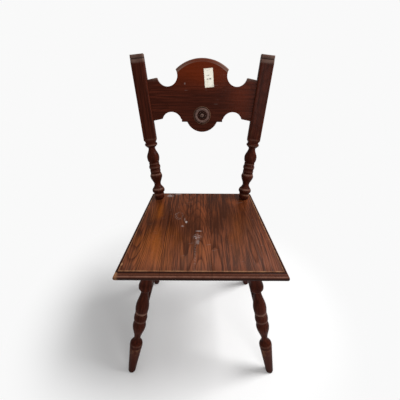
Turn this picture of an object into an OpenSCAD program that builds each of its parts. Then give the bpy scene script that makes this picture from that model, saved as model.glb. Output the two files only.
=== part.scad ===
// Plank-seat side chair with turned legs, raked turned posts and a carved crest rail.
// Z is up, X is the width, Y runs from the front edge of the seat to the back.
// The floor is Z = 0, and the origin lies under the middle of the chair's bounding box.

/* [Seat] */
// Height of the seat's top face above the floor
seat_height = 454; // [400:1:500]
// Width across the front edge of the seat
seat_width_front = 443; // [380:1:540]
// Width across the back edge of the seat
seat_width_rear = 361; // [310:1:440]
// Length of the seat from front to back
seat_depth = 404; // [340:1:490]
// Thickness of the seat boards
seat_thickness = 24; // [19:0.5:30]
// Distance from the middle to the left glue joint
joint_left = 105; // [80:1:108]
// Distance from the middle to the right glue joint
joint_right = 27; // [15:1:80]
// Width of the moulding on the front and side edges
moulding_width = 11; // [8:0.5:14]
// Rounding of the back edge of the seat
rear_edge_round = 3; // [1:0.5:5]

/* [Battens] */
// Thickness of the two battens under the seat
batten_thickness = 24; // [20:1:30]
// Width of the front batten, front to back
batten_front_width = 56; // [48:1:68]
// Width of the rear batten, front to back
batten_rear_width = 84; // [78:1:100]
// Distance from a batten's end to the edge of the seat beside it
batten_end_inset = 30; // [18:1:34]

/* [Legs] */
// Distance of a front leg's top from the seat's front corner, sideways
front_leg_inset = 82.5; // [70:0.5:95]
// Distance of a front leg's top from the seat's front edge
front_leg_setback = 54; // [48:1:66]
// Distance of a front foot outside the seat's front corner
front_foot_outset = 6.5; // [-10:0.5:25]
// Distance of a front foot behind the seat's front edge
front_foot_setback = 18.5; // [0:1:30]
// Distance of a rear leg's top from the seat's back corner, sideways
rear_leg_inset = 46; // [36:0.5:55]
// Distance of a rear leg's top from the seat's back edge
rear_leg_setback = 80; // [76:1:92]
// Distance of a rear foot outside the seat's back corner
rear_foot_outset = 16; // [0:0.5:40]
// Distance of a rear foot behind the seat's back edge
rear_foot_reach = 1; // [-20:1:25]
// Largest radius of the turned legs
leg_radius = 19.5; // [17:0.5:24]
// Radius of the foot's end
foot_radius = 11.6; // [9:0.2:14]
// Radius of the tenon at the top of a leg
leg_tenon_radius = 12.5; // [10:0.5:15]

/* [Stretchers] */
// Height of the stretchers' middles above the floor
stretcher_height = 268; // [262:1:280]
// Radius of a side stretcher at its ends
stretcher_radius = 14.5; // [11:0.5:16]
// Radius of a side stretcher at its middle swell
stretcher_swell_radius = 17.5; // [15:0.5:22]
// Radius of the cross stretcher at its middle
cross_radius = 14; // [11:0.5:18]
// Radius of the stretchers' tenons
stretcher_tenon_radius = 7; // [5:0.5:8]
// Length of the stretchers' tenons
stretcher_tenon_length = 11; // [6:1:12]

/* [Back] */
// Rake of the back from upright, in degrees
rake = 10.6; // [6:0.2:16]
// Outward lean of each post within the back, in degrees
lean = 6.2; // [3:0.1:8]
// Length of a post above the seat
post_length = 457.5; // [440:1:560]
// Distance of a post's foot from the seat's back corner, sideways
post_inset = 34; // [28:0.5:38]
// Distance of a post's foot from the seat's back edge
post_setback = 35; // [30:1:38]
// Width of the flat upper part of a post
post_width = 41; // [36:0.5:48]
// Thickness of the flat upper part of a post
post_thickness = 24; // [22:1:30]
// Radius of the tenon at the foot of a post
post_tenon_radius = 11.5; // [9:0.5:13]

/* [Crest rail] */
// Thickness of the crest rail
rail_thickness = 18; // [15:1:20]
// Distance of the crest rail's middle below the posts' tops, along the back
rail_drop = 130.5; // [115:1:140]
// Distance from the end of a post's turned part up to the crest rail's middle
rail_clear_height = 138; // [120:1:150]
// Distance of the rail's face behind the faces of the posts
rail_recess = 4.5; // [2:0.5:6]
// Depth of the rail at its ends
rail_end_depth = 123.5; // [100:0.5:130]
// Radius of the arched middle of the crest
arch_radius = 120; // [110:1:128]
// Height of the arch's top above the rail's middle
arch_rise = 119; // [112:1:130]
// Radius of the four round notches
notch_radius = 31.5; // [26:0.5:34]
// Radius of the lobe that hangs round the rosette
lobe_radius = 51; // [46:1:56]
// Rounding of the arch's front edge
arch_round = 9; // [4:0.5:12]

/* [Rosette] */
// Radius of the rosette
rosette_radius = 27; // [22:0.5:32]
// Height of the rosette's rim above the face of the rail
rosette_proud = 3; // [2:0.5:5]
// Number of petals in the rosette
petal_count = 12; // [6:1:20]

/* [Label] */
// Width of the paper label
label_width = 27.5; // [18:0.5:40]
// Height of the paper label
label_height = 54; // [35:1:70]
// Thickness of the paper label
label_thickness = 0.4; // [0.3:0.1:1]

/* [Fits] */
// Clearance round a tenon in its mortise
tenon_clearance = 0.2; // [0.1:0.05:0.5]
// Clearance where a stretcher is scribed to a turned leg
scribe_clearance = 0.3; // [0.1:0.05:0.6]

/* [Hidden] */
$fn = 64;

stain_dark = "#3b150d";
stain_brown = "#5a2616";
stain_warm = "#74381b";
paper_cream = "#f1ead8";
steel_grey = "#8b8d90";

// Kinds of stretch between two stations of a turned profile
STRAIGHT = 0;
EASED = 1;
ROUND_OUT = 2;
ROUND_IN = 3;
profile_steps = 7;

// Turn of a round piece about its own axis, which keeps its seam off the plane it tilts in
aim_turn = 37;

// Heights of the seat, the battens and what passes through them
seat_underside = seat_height - seat_thickness;
batten_underside = seat_underside - batten_thickness;
front_edge = -seat_depth / 2;
back_edge = seat_depth / 2;
side_slope = (seat_width_front - seat_width_rear) / 2 / seat_depth;
side_angle = atan(side_slope);

// The chair stands in the middle of its own bounding box
post_corner_round = 4;
roll_back_drop = 1.5;
post_square_half = post_width / 2 - post_corner_round;
post_top_rise = (post_length - roll_back_drop) * cos(lean) + post_square_half * sin(lean);
post_top_back = back_edge - post_setback + post_top_rise * sin(rake) + post_thickness / 2 * cos(rake);
centre_shift = -(post_top_back + front_edge) / 2;

// Ends of the legs' centre lines, at the seat's underside and on the floor
front_leg_top = [seat_width_front / 2 - front_leg_inset, front_edge + front_leg_setback, seat_underside];
front_leg_foot = [seat_width_front / 2 + front_foot_outset, front_edge + front_foot_setback, 0];
rear_leg_top = [seat_width_rear / 2 - rear_leg_inset, back_edge - rear_leg_setback, seat_underside];
rear_leg_foot = [seat_width_rear / 2 + rear_foot_outset, back_edge + rear_foot_reach, 0];

// Heights up a leg's centre line between which its profile is spaced: the foot, the ring under
// the stretcher, the swelling above it and the batten
leg_rise = norm(front_leg_top - front_leg_foot);
leg_stretcher_level = stretcher_height * leg_rise / seat_underside;
foot_level = 5;
ring_level = leg_stretcher_level - 41;
swell_level = leg_stretcher_level + 16;
function below_ring(t) = foot_level + t * (ring_level - foot_level);
function above_swell(t) = swell_level + t * (leg_rise - swell_level);

// Turned stations of a leg: height up its centre line, radius, kind of stretch to the next
leg_neck_radius = leg_radius * 0.49;
leg_grip_radius = leg_radius - 0.3;
leg_stations = [
    [-6, foot_radius - 2, STRAIGHT],
    [1, foot_radius - 1.6, ROUND_OUT],
    [foot_level, foot_radius, STRAIGHT],
    [below_ring(0.55), leg_radius, STRAIGHT],
    [below_ring(0.563), leg_radius - 0.2, EASED],
    [below_ring(0.677), leg_neck_radius, EASED],
    [below_ring(0.926), leg_radius - 0.2, EASED],
    [ring_level, leg_radius - 2.3, STRAIGHT],
    [ring_level + 2, leg_radius - 3.2, STRAIGHT],
    [ring_level + 3.5, leg_radius - 2.4, ROUND_OUT],
    [leg_stretcher_level - 25, leg_grip_radius, EASED],
    [leg_stretcher_level - 6, leg_radius - 1.9, EASED],
    [swell_level, leg_radius - 0.4, EASED],
    [above_swell(0.408), leg_neck_radius + 0.8, EASED],
    [above_swell(0.501), leg_radius - 0.6, EASED],
    [above_swell(0.541), leg_radius - 0.2, EASED],
    [above_swell(0.675), leg_radius - 3, STRAIGHT],
    [above_swell(1.1), leg_radius - 1.5, STRAIGHT]
];

// Turned stations of a post, measured up from the seat. All but the foot's rings are spaced
// over the height of its turned part, which ends a fixed distance below the crest rail
rail_height = post_length - rail_drop;
disc_height = rail_height - rail_clear_height;
flat_start = disc_height + 5;
base_height = 31;
function up_post(t) = base_height + t * (disc_height - base_height);
post_stations = [
    [-4, 12.5, STRAIGHT],
    [0, 12.5, ROUND_OUT],
    [10, 16.6, STRAIGHT],
    [16.3, 17, STRAIGHT],
    [17.3, 15.6, STRAIGHT],
    [18.3, 17, STRAIGHT],
    [23, 16.6, ROUND_OUT],
    [base_height, 21.2, EASED],
    [up_post(0.133), 11.1, EASED],
    [up_post(0.323), 20.2, EASED],
    [up_post(0.38), 18, STRAIGHT],
    [up_post(0.389), 15.6, ROUND_OUT],
    [up_post(0.434), 17.4, ROUND_IN],
    [up_post(0.478), 15.6, ROUND_OUT],
    [up_post(0.522), 18.9, ROUND_IN],
    [up_post(0.566), 15.8, ROUND_OUT],
    [up_post(0.595), 17, ROUND_IN],
    [up_post(0.627), 15, ROUND_OUT],
    [up_post(0.734), 20.3, EASED],
    [up_post(0.924), 11, EASED],
    [up_post(0.975), 17.5, ROUND_OUT],
    [disc_height, 20.4, ROUND_IN],
    [flat_start, 17, STRAIGHT]
];
// Radius to which the pommel spreads, and the height over which it does
pommel_radius = 28;
pommel_rise = 20;

// Rolled top of a post, seen from its side
roll_radius = 6.5;
roll_groove = 1.6;
roll_slope_drop = 26;
roll_slope_radius = 30;

// Crest rail outline, measured from the middle of the rail
arch_centre = arch_rise - arch_radius;
lobe_centre = -46;
upper_notch = [107, 70];
lower_notch = [96, -67.5];
shoulder_slope = tan(11.7);
shoulder_level = 63;
shoulder_start = 140;
end_start = 128;
step_level = -66;
step_half_width = 64;
rail_face = -post_thickness / 2 + rail_recess;
rail_middle = rail_face + rail_thickness / 2;
rail_end_middle = shoulder_level - rail_end_depth / 2 - 20 * shoulder_slope;
rail_tenon_depth = 20;
rail_tenon_thickness = 9;
rail_tenon_shoulder = 14;

// Rosette, measured from its own middle on the face of the rail
rosette_seat_depth = 3;
rosette_spigot_radius = 6;
rosette_spigot_length = 7;
rosette_ring_radius = rosette_radius * 0.7;
rosette_dish_radius = rosette_radius * 0.46;
rosette_button_radius = rosette_radius * 0.17;
rosette_groove_floor = -0.8;

// Where the label's middle lies on the rail, and how far it is turned
label_place = [20, 63.5];
label_turn = -5;

// Pegs, wedges and screws
peg_radius = 3;
peg_length = 17;
peg_spread = 24;
wedge_depth = 14;
wedge_thick = 2.4;
wedge_thin = 0.8;
wedge_end = 6;
screw_shank_radius = 2.1;
screw_head_radius = 4.2;
screw_head_depth = 3;
screw_length = batten_thickness + seat_thickness / 2;
screw_clearance = 0.15;

// Points of one stretch of a turned profile, from one station to the next
function stretch(a, b) = [
    for (k = [0 : (a[2] == STRAIGHT ? 0 : profile_steps - 1)])
        let (t = k / profile_steps)
        a[2] == EASED ? [a[1] + (b[1] - a[1]) * (1 - cos(180 * t)) / 2, a[0] + (b[0] - a[0]) * t]
        : a[2] == ROUND_OUT ? [a[1] + (b[1] - a[1]) * sin(90 * t), a[0] + (b[0] - a[0]) * (1 - cos(90 * t))]
        : a[2] == ROUND_IN ? [a[1] + (b[1] - a[1]) * (1 - cos(90 * t)), a[0] + (b[0] - a[0]) * sin(90 * t)]
        : [a[1], a[0]]
];

// Whole outline of a turned profile, closed on its axis and grown by a margin
function turned_outline(stations, grow) = let (last = len(stations) - 1) [
    [0, stations[0][0]],
    for (i = [0 : last - 1]) for (p = stretch(stations[i], stations[i + 1])) [p[0] + grow, p[1]],
    [stations[last][1] + grow, stations[last][0]],
    [0, stations[last][0]]
];

// Point at a height along the line between two points
function at_height(top, foot, z) = foot + (top - foot) * (z - foot[2]) / (top[2] - foot[2]);

// A solid turned on the Z axis
module turned(stations, grow = 0) {
    rotate_extrude()
        polygon(turned_outline(stations, grow));
}

// Places its children at a point, with their Z axis along a direction and turned about it
module aim(start, direction, turn = aim_turn) {
    translate(start)
        rotate([0, acos(direction[2] / norm(direction)), atan2(direction[1], direction[0])])
            rotate([0, 0, turn])
                children();
}

// Everything is modelled round the middle of the seat, then moved to the middle of the chair
module placed() {
    translate([0, centre_shift, 0])
        children();
}

module on_side(side) {
    mirror([side < 0 ? 1 : 0, 0, 0])
        children();
}

// Frame of the back: X across, Z up along the rake, Y behind it
module back_frame() {
    translate([0, back_edge - post_setback, seat_height])
        rotate([-rake, 0, 0])
            children();
}

// Frame of the right-hand post inside the back frame
module post_frame() {
    translate([seat_width_rear / 2 - post_inset, 0, 0])
        rotate([0, lean, 0])
            children();
}

// ---- Seat ----

// Section of the moulded edge, X in from the nose and Y up from the underside
edge_fillet = 0.5;
step_drop = 1.8;
ovolo_drop = 4.8;
quirk_drop = 0.8;
nose_reach = 4.2;
nose_half = (seat_thickness - step_drop - ovolo_drop - quirk_drop) / 2;
ovolo_width = moulding_width - nose_reach + edge_fillet;
function moulded_section(reach) = concat(
    [[reach, 0], [reach, seat_thickness], [moulding_width, seat_thickness]],
    [for (k = [0 : profile_steps]) let (t = 90 * k / profile_steps)
        [moulding_width - edge_fillet - ovolo_width * sin(t),
         seat_thickness - step_drop - ovolo_drop * (1 - cos(t))]],
    [for (k = [0 : 2 * profile_steps]) let (t = 90 * k / profile_steps)
        [nose_reach * (1 - sin(t)), nose_half * (1 + cos(t))]]
);

// A prism of the moulded section whose nose runs along X at Y = 0, with its body behind it
module moulded_edge() {
    edge_length = 2 * (seat_width_front + seat_depth);
    translate([-edge_length / 2, 0, 0])
        rotate([90, 0, 90])
            linear_extrude(edge_length)
                polygon(moulded_section(seat_width_front + seat_depth));
}

module seat_blank() {
    intersection() {
        translate([0, front_edge, seat_underside])
            moulded_edge();
        side_edge(1);
        side_edge(-1);
        rear_edge();
    }
}

// A tapering side: a moulded prism turned to the side's direction
module side_edge(side) {
    on_side(side)
        translate([seat_width_front / 2, front_edge, seat_underside])
            rotate([0, 0, 90 + side_angle])
                moulded_edge();
}

// Everything in front of the back edge, which is rounded at the top and the bottom
module rear_edge() {
    block = seat_width_front + 40;
    translate([-block / 2, front_edge - 10, seat_underside])
        cube([block, seat_depth + 10 - rear_edge_round, seat_thickness]);
    translate([-block / 2, back_edge - rear_edge_round - 1, seat_underside + rear_edge_round])
        cube([block, rear_edge_round + 1, seat_thickness - 2 * rear_edge_round]);
    for (z = [rear_edge_round, seat_thickness - rear_edge_round])
        translate([-block / 2, back_edge - rear_edge_round, seat_underside + z])
            rotate([0, 90, 0])
                cylinder(h = block, r = rear_edge_round);
}

// Round holes in which the posts and the screws pass through the seat
module seat_holes() {
    hole_reach = seat_thickness + batten_thickness + 20;
    for (side = [-1, 1])
        on_side(side)
            back_frame()
                post_frame()
                    translate([0, 0, -hole_reach])
                        cylinder(h = hole_reach + 20, r = post_tenon_radius + tenon_clearance);
    screw_shanks(screw_clearance);
}

module seat_board(from_x, to_x) {
    placed()
        difference() {
            intersection() {
                seat_blank();
                translate([from_x, front_edge - 5, seat_underside - 5])
                    cube([to_x - from_x, seat_depth + 10, seat_thickness + 10]);
            }
            seat_holes();
        }
}

module seat_board_left() {
    color(stain_warm)
        seat_board(-seat_width_front, -joint_left);
}

module seat_board_centre() {
    color(stain_brown)
        seat_board(-joint_left, joint_right);
}

module seat_board_right() {
    color(stain_brown)
        seat_board(joint_right, seat_width_front);
}

// ---- Battens under the seat ----

front_batten_y = front_leg_top[1];
rear_batten_y = back_edge - 20 - batten_rear_width / 2;

function seat_half_width(y) = seat_width_rear / 2 + side_slope * (back_edge - y);
function batten_half(y) = seat_half_width(y) - batten_end_inset;

module batten_blank(y, width) {
    half = batten_half(y + width / 2);
    chamfer = 6;
    translate([0, y + width / 2, 0])
        rotate([90, 0, 0])
            linear_extrude(width)
                polygon([
                    [-half, seat_underside], [half, seat_underside],
                    [half, batten_underside + chamfer], [half - chamfer, batten_underside],
                    [chamfer - half, batten_underside], [-half, batten_underside + chamfer]
                ]);
}

module leg_tenon_hole(top, foot) {
    aim(foot, top - foot)
        translate([0, 0, norm(top - foot) - batten_thickness - 30])
            cylinder(h = batten_thickness + 60, r = leg_tenon_radius + tenon_clearance);
}

module batten_front() {
    color(stain_dark)
        placed()
            difference() {
                batten_blank(front_batten_y, batten_front_width);
                for (side = [-1, 1])
                    on_side(side)
                        leg_tenon_hole(front_leg_top, front_leg_foot);
                screw_shanks(screw_clearance);
                screw_heads(screw_clearance);
            }
}

module batten_rear() {
    color(stain_dark)
        placed()
            difference() {
                batten_blank(rear_batten_y, batten_rear_width);
                for (side = [-1, 1])
                    on_side(side)
                        leg_tenon_hole(rear_leg_top, rear_leg_foot);
                seat_holes();
                screw_heads(screw_clearance);
            }
}

// ---- Screws that hold the battens to the seat boards ----

// Two screws in each row hold the boards beside each glue joint, and one more holds the far side
screw_edge_distance = 14;
screw_rows = [front_batten_y, rear_batten_y + batten_rear_width / 2 - screw_edge_distance];
screw_xs = [
    -joint_left - screw_edge_distance, -joint_left + screw_edge_distance,
    joint_right - screw_edge_distance, joint_right + screw_edge_distance,
    joint_left + screw_edge_distance
];

module at_screws() {
    for (y = screw_rows)
        for (x = screw_xs)
            translate([x, y, batten_underside])
                children();
}

module screw_shanks(grow) {
    at_screws()
        translate([0, 0, -grow])
            cylinder(h = screw_length + 2 * grow, r = screw_shank_radius + grow);
}

module screw_heads(grow) {
    at_screws()
        translate([0, 0, -0.01])
            cylinder(h = screw_head_depth + grow, r = screw_head_radius + grow);
}

module batten_screws() {
    slot_width = 1;
    slot_depth = 1.2;
    color(steel_grey)
        placed()
            at_screws()
                difference() {
                    union() {
                        translate([0, 0, 0.4])
                            cylinder(h = screw_head_depth - 0.4, r = screw_head_radius);
                        translate([0, 0, 0.4])
                            cylinder(h = screw_length - 0.4, r = screw_shank_radius);
                    }
                    translate([-screw_head_radius - 1, -slot_width / 2, 0])
                        cube([2 * screw_head_radius + 2, slot_width, slot_depth + 0.4]);
                }
}

// ---- Legs ----

// A turned leg cut level at the floor and at the underside of the batten, with its tenon
module leg(top, foot) {
    leg_line = top - foot;
    rise = norm(leg_line);
    slab = 4 * leg_radius;
    difference() {
        union() {
            intersection() {
                aim(foot, leg_line)
                    turned(leg_stations);
                translate([foot[0] - 2 * slab, foot[1] - 2 * slab, 0])
                    cube([4 * slab, 4 * slab, batten_underside]);
            }
            intersection() {
                aim(foot, leg_line)
                    translate([0, 0, rise - 2 * batten_thickness])
                        cylinder(h = 3 * batten_thickness, r = leg_tenon_radius);
                translate([top[0] - slab, top[1] - slab, batten_underside - 4])
                    cube([2 * slab, 2 * slab, batten_thickness + 4]);
            }
        }
        leg_wedge(top, foot, tenon_clearance);
    }
}

// A leg's wedge, in line with its tenon and trimmed level with the underside of the seat
module leg_wedge(top, foot, grow) {
    slab = 4 * leg_radius;
    intersection() {
        aim(foot, top - foot, 0)
            translate([0, 0, norm(top - foot)])
                wedge(grow, leg_tenon_radius);
        translate([top[0] - slab / 2, top[1] - slab / 2, seat_underside - slab])
            cube([slab, slab, slab + (grow > 0 ? 1 : 0)]);
    }
}

// A wedge driven down from the end of a tenon, standing a little past it
module wedge(grow, radius) {
    half = radius * 0.8 + grow;
    rotate([90, 0, 90])
        translate([0, 0, -half])
            linear_extrude(2 * half)
                polygon([
                    [-wedge_thick / 2 - grow, wedge_end], [wedge_thick / 2 + grow, wedge_end],
                    [wedge_thin / 2 + grow, -wedge_depth - grow],
                    [-wedge_thin / 2 - grow, -wedge_depth - grow]
                ]);
}

// Holes that the side stretchers' tenons enter
module stretcher_sockets(side_start, side_end) {
    run = side_end - side_start;
    reach = stretcher_tenon_length + tenon_clearance;
    for (flip = [0, 1])
        aim(flip == 0 ? side_start : side_end, flip == 0 ? run : -run)
            translate([0, 0, leg_grip - reach])
                cylinder(h = reach + leg_radius, r = stretcher_tenon_radius + tenon_clearance);
}

// Distance from a leg's centre line to where its stretcher's tenon starts
leg_grip = leg_radius - 5;
side_front_end = at_height(front_leg_top, front_leg_foot, stretcher_height);
side_rear_end = at_height(rear_leg_top, rear_leg_foot, stretcher_height);

module front_leg() {
    difference() {
        leg(front_leg_top, front_leg_foot);
        stretcher_sockets(side_front_end, side_rear_end);
    }
}

module rear_leg() {
    difference() {
        leg(rear_leg_top, rear_leg_foot);
        stretcher_sockets(side_front_end, side_rear_end);
    }
}

module leg_front_left() {
    color(stain_dark)
        placed()
            on_side(-1)
                front_leg();
}

module leg_front_right() {
    color(stain_dark)
        placed()
            on_side(1)
                front_leg();
}

module leg_rear_left() {
    color(stain_dark)
        placed()
            on_side(-1)
                rear_leg();
}

module leg_rear_right() {
    color(stain_dark)
        placed()
            on_side(1)
                rear_leg();
}

// ---- Stretchers ----

side_run = side_rear_end - side_front_end;
side_length = norm(side_run);
cross_half = (side_front_end[0] + side_rear_end[0]) / 2;
cross_y = (side_front_end[1] + side_rear_end[1]) / 2;
cross_grip = stretcher_swell_radius - 5;

function side_stations() = [
    [0, stretcher_radius, STRAIGHT],
    [30, stretcher_radius, EASED],
    [side_length / 2 - 26, stretcher_swell_radius - 2, STRAIGHT],
    [side_length / 2 - 25, stretcher_swell_radius - 3, STRAIGHT],
    [side_length / 2 - 24, stretcher_swell_radius - 2, ROUND_OUT],
    [side_length / 2 - 14, stretcher_swell_radius, STRAIGHT],
    [side_length / 2 + 14, stretcher_swell_radius, ROUND_IN],
    [side_length / 2 + 24, stretcher_swell_radius - 2, STRAIGHT],
    [side_length / 2 + 25, stretcher_swell_radius - 3, STRAIGHT],
    [side_length / 2 + 26, stretcher_swell_radius - 2, EASED],
    [side_length - 30, stretcher_radius, STRAIGHT],
    [side_length, stretcher_radius, STRAIGHT]
];

// A side stretcher, scribed to both legs and tenoned into them
module side_stretcher() {
    difference() {
        aim(side_front_end, side_run)
            turned(side_stations());
        aim(front_leg_foot, front_leg_top - front_leg_foot)
            cylinder(h = leg_rise, r = leg_grip_radius + scribe_clearance);
        aim(rear_leg_foot, rear_leg_top - rear_leg_foot)
            cylinder(h = leg_rise, r = leg_grip_radius + scribe_clearance);
    }
    aim(side_front_end, side_run)
        translate([0, 0, leg_grip - stretcher_tenon_length])
            cylinder(h = side_length - 2 * (leg_grip - stretcher_tenon_length), r = stretcher_tenon_radius);
}

// Blind hole in a side stretcher for the cross stretcher's tenon
module cross_socket() {
    reach = stretcher_tenon_length + tenon_clearance;
    translate([cross_half - cross_grip + reach, cross_y, stretcher_height])
        rotate([0, -90, 0])
            cylinder(h = reach + stretcher_swell_radius, r = stretcher_tenon_radius + tenon_clearance);
}

module bored_side_stretcher() {
    difference() {
        side_stretcher();
        cross_socket();
    }
}

module side_stretcher_left() {
    color(stain_dark)
        placed()
            on_side(-1)
                bored_side_stretcher();
}

module side_stretcher_right() {
    color(stain_dark)
        placed()
            on_side(1)
                bored_side_stretcher();
}

// The cross stretcher swells from its tenons, which end inside the side stretchers' sockets
cross_reach = cross_half - cross_grip + stretcher_tenon_length;
cross_straight = stretcher_tenon_length + 22;
function cross_stations() = [
    [-cross_reach, stretcher_tenon_radius, STRAIGHT],
    [cross_straight - cross_reach, stretcher_tenon_radius, EASED],
    [-16, cross_radius - 1, STRAIGHT],
    [-15, cross_radius - 2, STRAIGHT],
    [-14, cross_radius - 1, ROUND_OUT],
    [-8, cross_radius, STRAIGHT],
    [8, cross_radius, ROUND_IN],
    [14, cross_radius - 1, STRAIGHT],
    [15, cross_radius - 2, STRAIGHT],
    [16, cross_radius - 1, EASED],
    [cross_reach - cross_straight, stretcher_tenon_radius, STRAIGHT],
    [cross_reach, stretcher_tenon_radius, STRAIGHT]
];

module cross_stretcher() {
    color(stain_dark)
        placed()
            translate([0, cross_y, stretcher_height])
                rotate([0, 90, 0])
                    turned(cross_stations());
}

// ---- Posts ----

module rounded_rectangle(width, depth, round) {
    square([width, depth - 2 * round], center = true);
    square([width - 2 * round, depth], center = true);
    for (x = [-1, 1])
        for (y = [-1, 1])
            translate([x * (width / 2 - round), y * (depth / 2 - round)])
                circle(r = round);
}

// Side view of a post's top: the face bends back, a groove, then a small roll
module rolled_top_outline() {
    front = -post_thickness / 2;
    slope_start = post_length - roll_slope_drop;
    slope_end = post_length - 2 * roll_radius + 3;
    bend = asin((slope_end - slope_start) / roll_slope_radius);
    roll_centre = front + roll_slope_radius * (1 - cos(bend)) + roll_radius - roll_groove;
    square_back = post_thickness / 2;
    union() {
        translate([front, 0])
            square([post_thickness, slope_start]);
        polygon(concat(
            [for (k = [0 : profile_steps]) let (t = bend * k / profile_steps)
                [front + roll_slope_radius * (1 - cos(t)), slope_start + roll_slope_radius * sin(t)]],
            [[square_back, slope_end], [square_back, slope_start - 1], [front, slope_start - 1]]
        ));
        translate([roll_centre, post_length - roll_radius])
            circle(r = roll_radius);
        translate([roll_centre, slope_end - 1])
            square([square_back - roll_centre, post_length - slope_end + 1 - roll_back_drop]);
    }
}

module post_solid() {
    turned(post_stations);
    intersection() {
        translate([0, 0, flat_start - 1])
            linear_extrude(post_length)
                rounded_rectangle(post_width, post_thickness, post_corner_round);
        turned([
            [flat_start - 1, 17, STRAIGHT],
            [flat_start, 17, EASED],
            [flat_start + pommel_rise, pommel_radius, STRAIGHT],
            [post_length + 20, pommel_radius, STRAIGHT]
        ]);
        translate([-post_width, 0, 0])
            rotate([90, 0, 90])
                linear_extrude(2 * post_width)
                    rolled_top_outline();
    }
}

// The right-hand post in the back frame, cut level on the seat and tenoned through it
module post_body() {
    slab = 4 * post_width;
    foot_x = seat_width_rear / 2 - post_inset;
    difference() {
        union() {
            intersection() {
                back_frame()
                    post_frame()
                        post_solid();
                translate([foot_x - slab, back_edge - slab, seat_height])
                    cube([2 * slab, 2 * slab, 2 * post_length]);
            }
            intersection() {
                back_frame()
                    post_frame()
                        translate([0, 0, -3 * batten_thickness])
                            cylinder(h = 3 * batten_thickness + 8, r = post_tenon_radius);
                translate([foot_x - slab, back_edge - slab, batten_underside])
                    cube([2 * slab, 2 * slab, seat_thickness + batten_thickness + 6]);
            }
        }
        post_wedge(tenon_clearance);
        back_frame()
            rail_tenons(tenon_clearance);
        back_frame()
            pegs(screw_clearance);
    }
}

// A post's wedge goes up into its tenon, and is trimmed level with the underside of the batten
module post_wedge(grow) {
    drop = (seat_thickness + batten_thickness) / (cos(rake) * cos(lean));
    slab = 4 * post_width;
    intersection() {
        back_frame()
            post_frame()
                translate([0, 0, -drop])
                    mirror([0, 0, 1])
                        wedge(grow, post_tenon_radius);
        translate([0, back_edge - slab, batten_underside - (grow > 0 ? 1 : 0)])
            cube([seat_width_rear, 2 * slab, slab]);
    }
}

module post_left() {
    color(stain_dark)
        placed()
            on_side(-1)
                post_body();
}

module post_right() {
    color(stain_dark)
        placed()
            on_side(1)
                post_body();
}

// ---- Crest rail ----

// Distance from the middle of the chair to a post's inner face, at a height up the back
function post_inner_face(v) = seat_width_rear / 2 - post_inset + v * tan(lean) - post_width / 2 / cos(lean);

// Outline of the rail, X across and Y up from the rail's middle
module rail_outline() {
    far = post_inner_face(rail_height) + 40;
    end_top = shoulder_level - (far - shoulder_start) * shoulder_slope;
    middle_bottom = shoulder_level + (shoulder_start - end_start) * shoulder_slope - rail_end_depth;
    difference() {
        union() {
            polygon([
                [-far, end_top], [-shoulder_start, shoulder_level],
                [shoulder_start, shoulder_level], [far, end_top],
                [far, end_top - rail_end_depth], [end_start, middle_bottom],
                [-end_start, middle_bottom], [-far, end_top - rail_end_depth]
            ]);
            intersection() {
                translate([0, arch_centre])
                    circle(r = arch_radius, $fn = 180);
                translate([-upper_notch[0] + notch_radius * 0.6, 0])
                    square([2 * (upper_notch[0] - notch_radius * 0.6), arch_rise]);
            }
            translate([-step_half_width, step_level])
                square([2 * step_half_width, -step_level]);
            translate([0, lobe_centre])
                circle(r = lobe_radius, $fn = 120);
        }
        for (side = [-1, 1]) {
            translate([side * upper_notch[0], upper_notch[1]])
                circle(r = notch_radius, $fn = 90);
            translate([side * lower_notch[0], lower_notch[1]])
                circle(r = notch_radius, $fn = 90);
        }
    }
}

// Takes the front edge off the arch with a quarter round
module arch_rounding() {
    translate([0, 0, arch_centre])
        rotate([-90, 0, 0])
            rotate_extrude($fn = 180)
                difference() {
                    translate([arch_radius - arch_round, -1])
                        square([arch_round + 2, arch_round + 1]);
                    translate([arch_radius - arch_round, arch_round])
                        circle(r = arch_round);
                }
}

// Keeps what lies between the posts' inner faces, or reaches into the mortises
module between_posts(reach) {
    tall = 2 * arch_rise + 200;
    rotate([90, 0, 0])
        translate([0, 0, -100])
            linear_extrude(200)
                polygon([
                    [-post_inner_face(rail_height - tall / 2) - reach, -tall / 2],
                    [post_inner_face(rail_height - tall / 2) + reach, -tall / 2],
                    [post_inner_face(rail_height + tall / 2) + reach, tall / 2],
                    [-post_inner_face(rail_height + tall / 2) - reach, tall / 2]
                ]);
}

// Both rectangular tenons of the rail, in the back frame
module rail_tenons(grow) {
    tenon_height = rail_end_depth - 2 * rail_tenon_shoulder + 2 * grow;
    tenon_thickness = rail_tenon_thickness + 2 * grow;
    translate([0, 0, rail_height])
        difference() {
            intersection() {
                translate([0, rail_middle, rail_end_middle])
                    cube([2 * seat_width_front, tenon_thickness, tenon_height], center = true);
                between_posts(rail_tenon_depth + grow);
            }
            between_posts(-2);
        }
}

module crest_rail() {
    color(stain_brown)
        placed()
            back_frame()
                difference() {
                    union() {
                        translate([0, 0, rail_height])
                            intersection() {
                                translate([0, rail_face + rail_thickness, 0])
                                    rotate([90, 0, 0])
                                        linear_extrude(rail_thickness)
                                            rail_outline();
                                between_posts(0);
                            }
                        rail_tenons(0);
                    }
                    translate([0, rail_face, rail_height])
                        intersection() {
                            arch_rounding();
                            translate([-upper_notch[0], -2, arch_centre + arch_radius / 2])
                                cube([2 * upper_notch[0], arch_round + 3, arch_radius]);
                        }
                    rosette_seat();
                    pegs(screw_clearance);
                }
}

// ---- Rosette ----

// Frame of the rosette: Z points out of the rail's face
module rosette_frame() {
    translate([0, rail_face, rail_height + lobe_centre])
        rotate([90, 0, 0])
            children();
}

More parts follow.
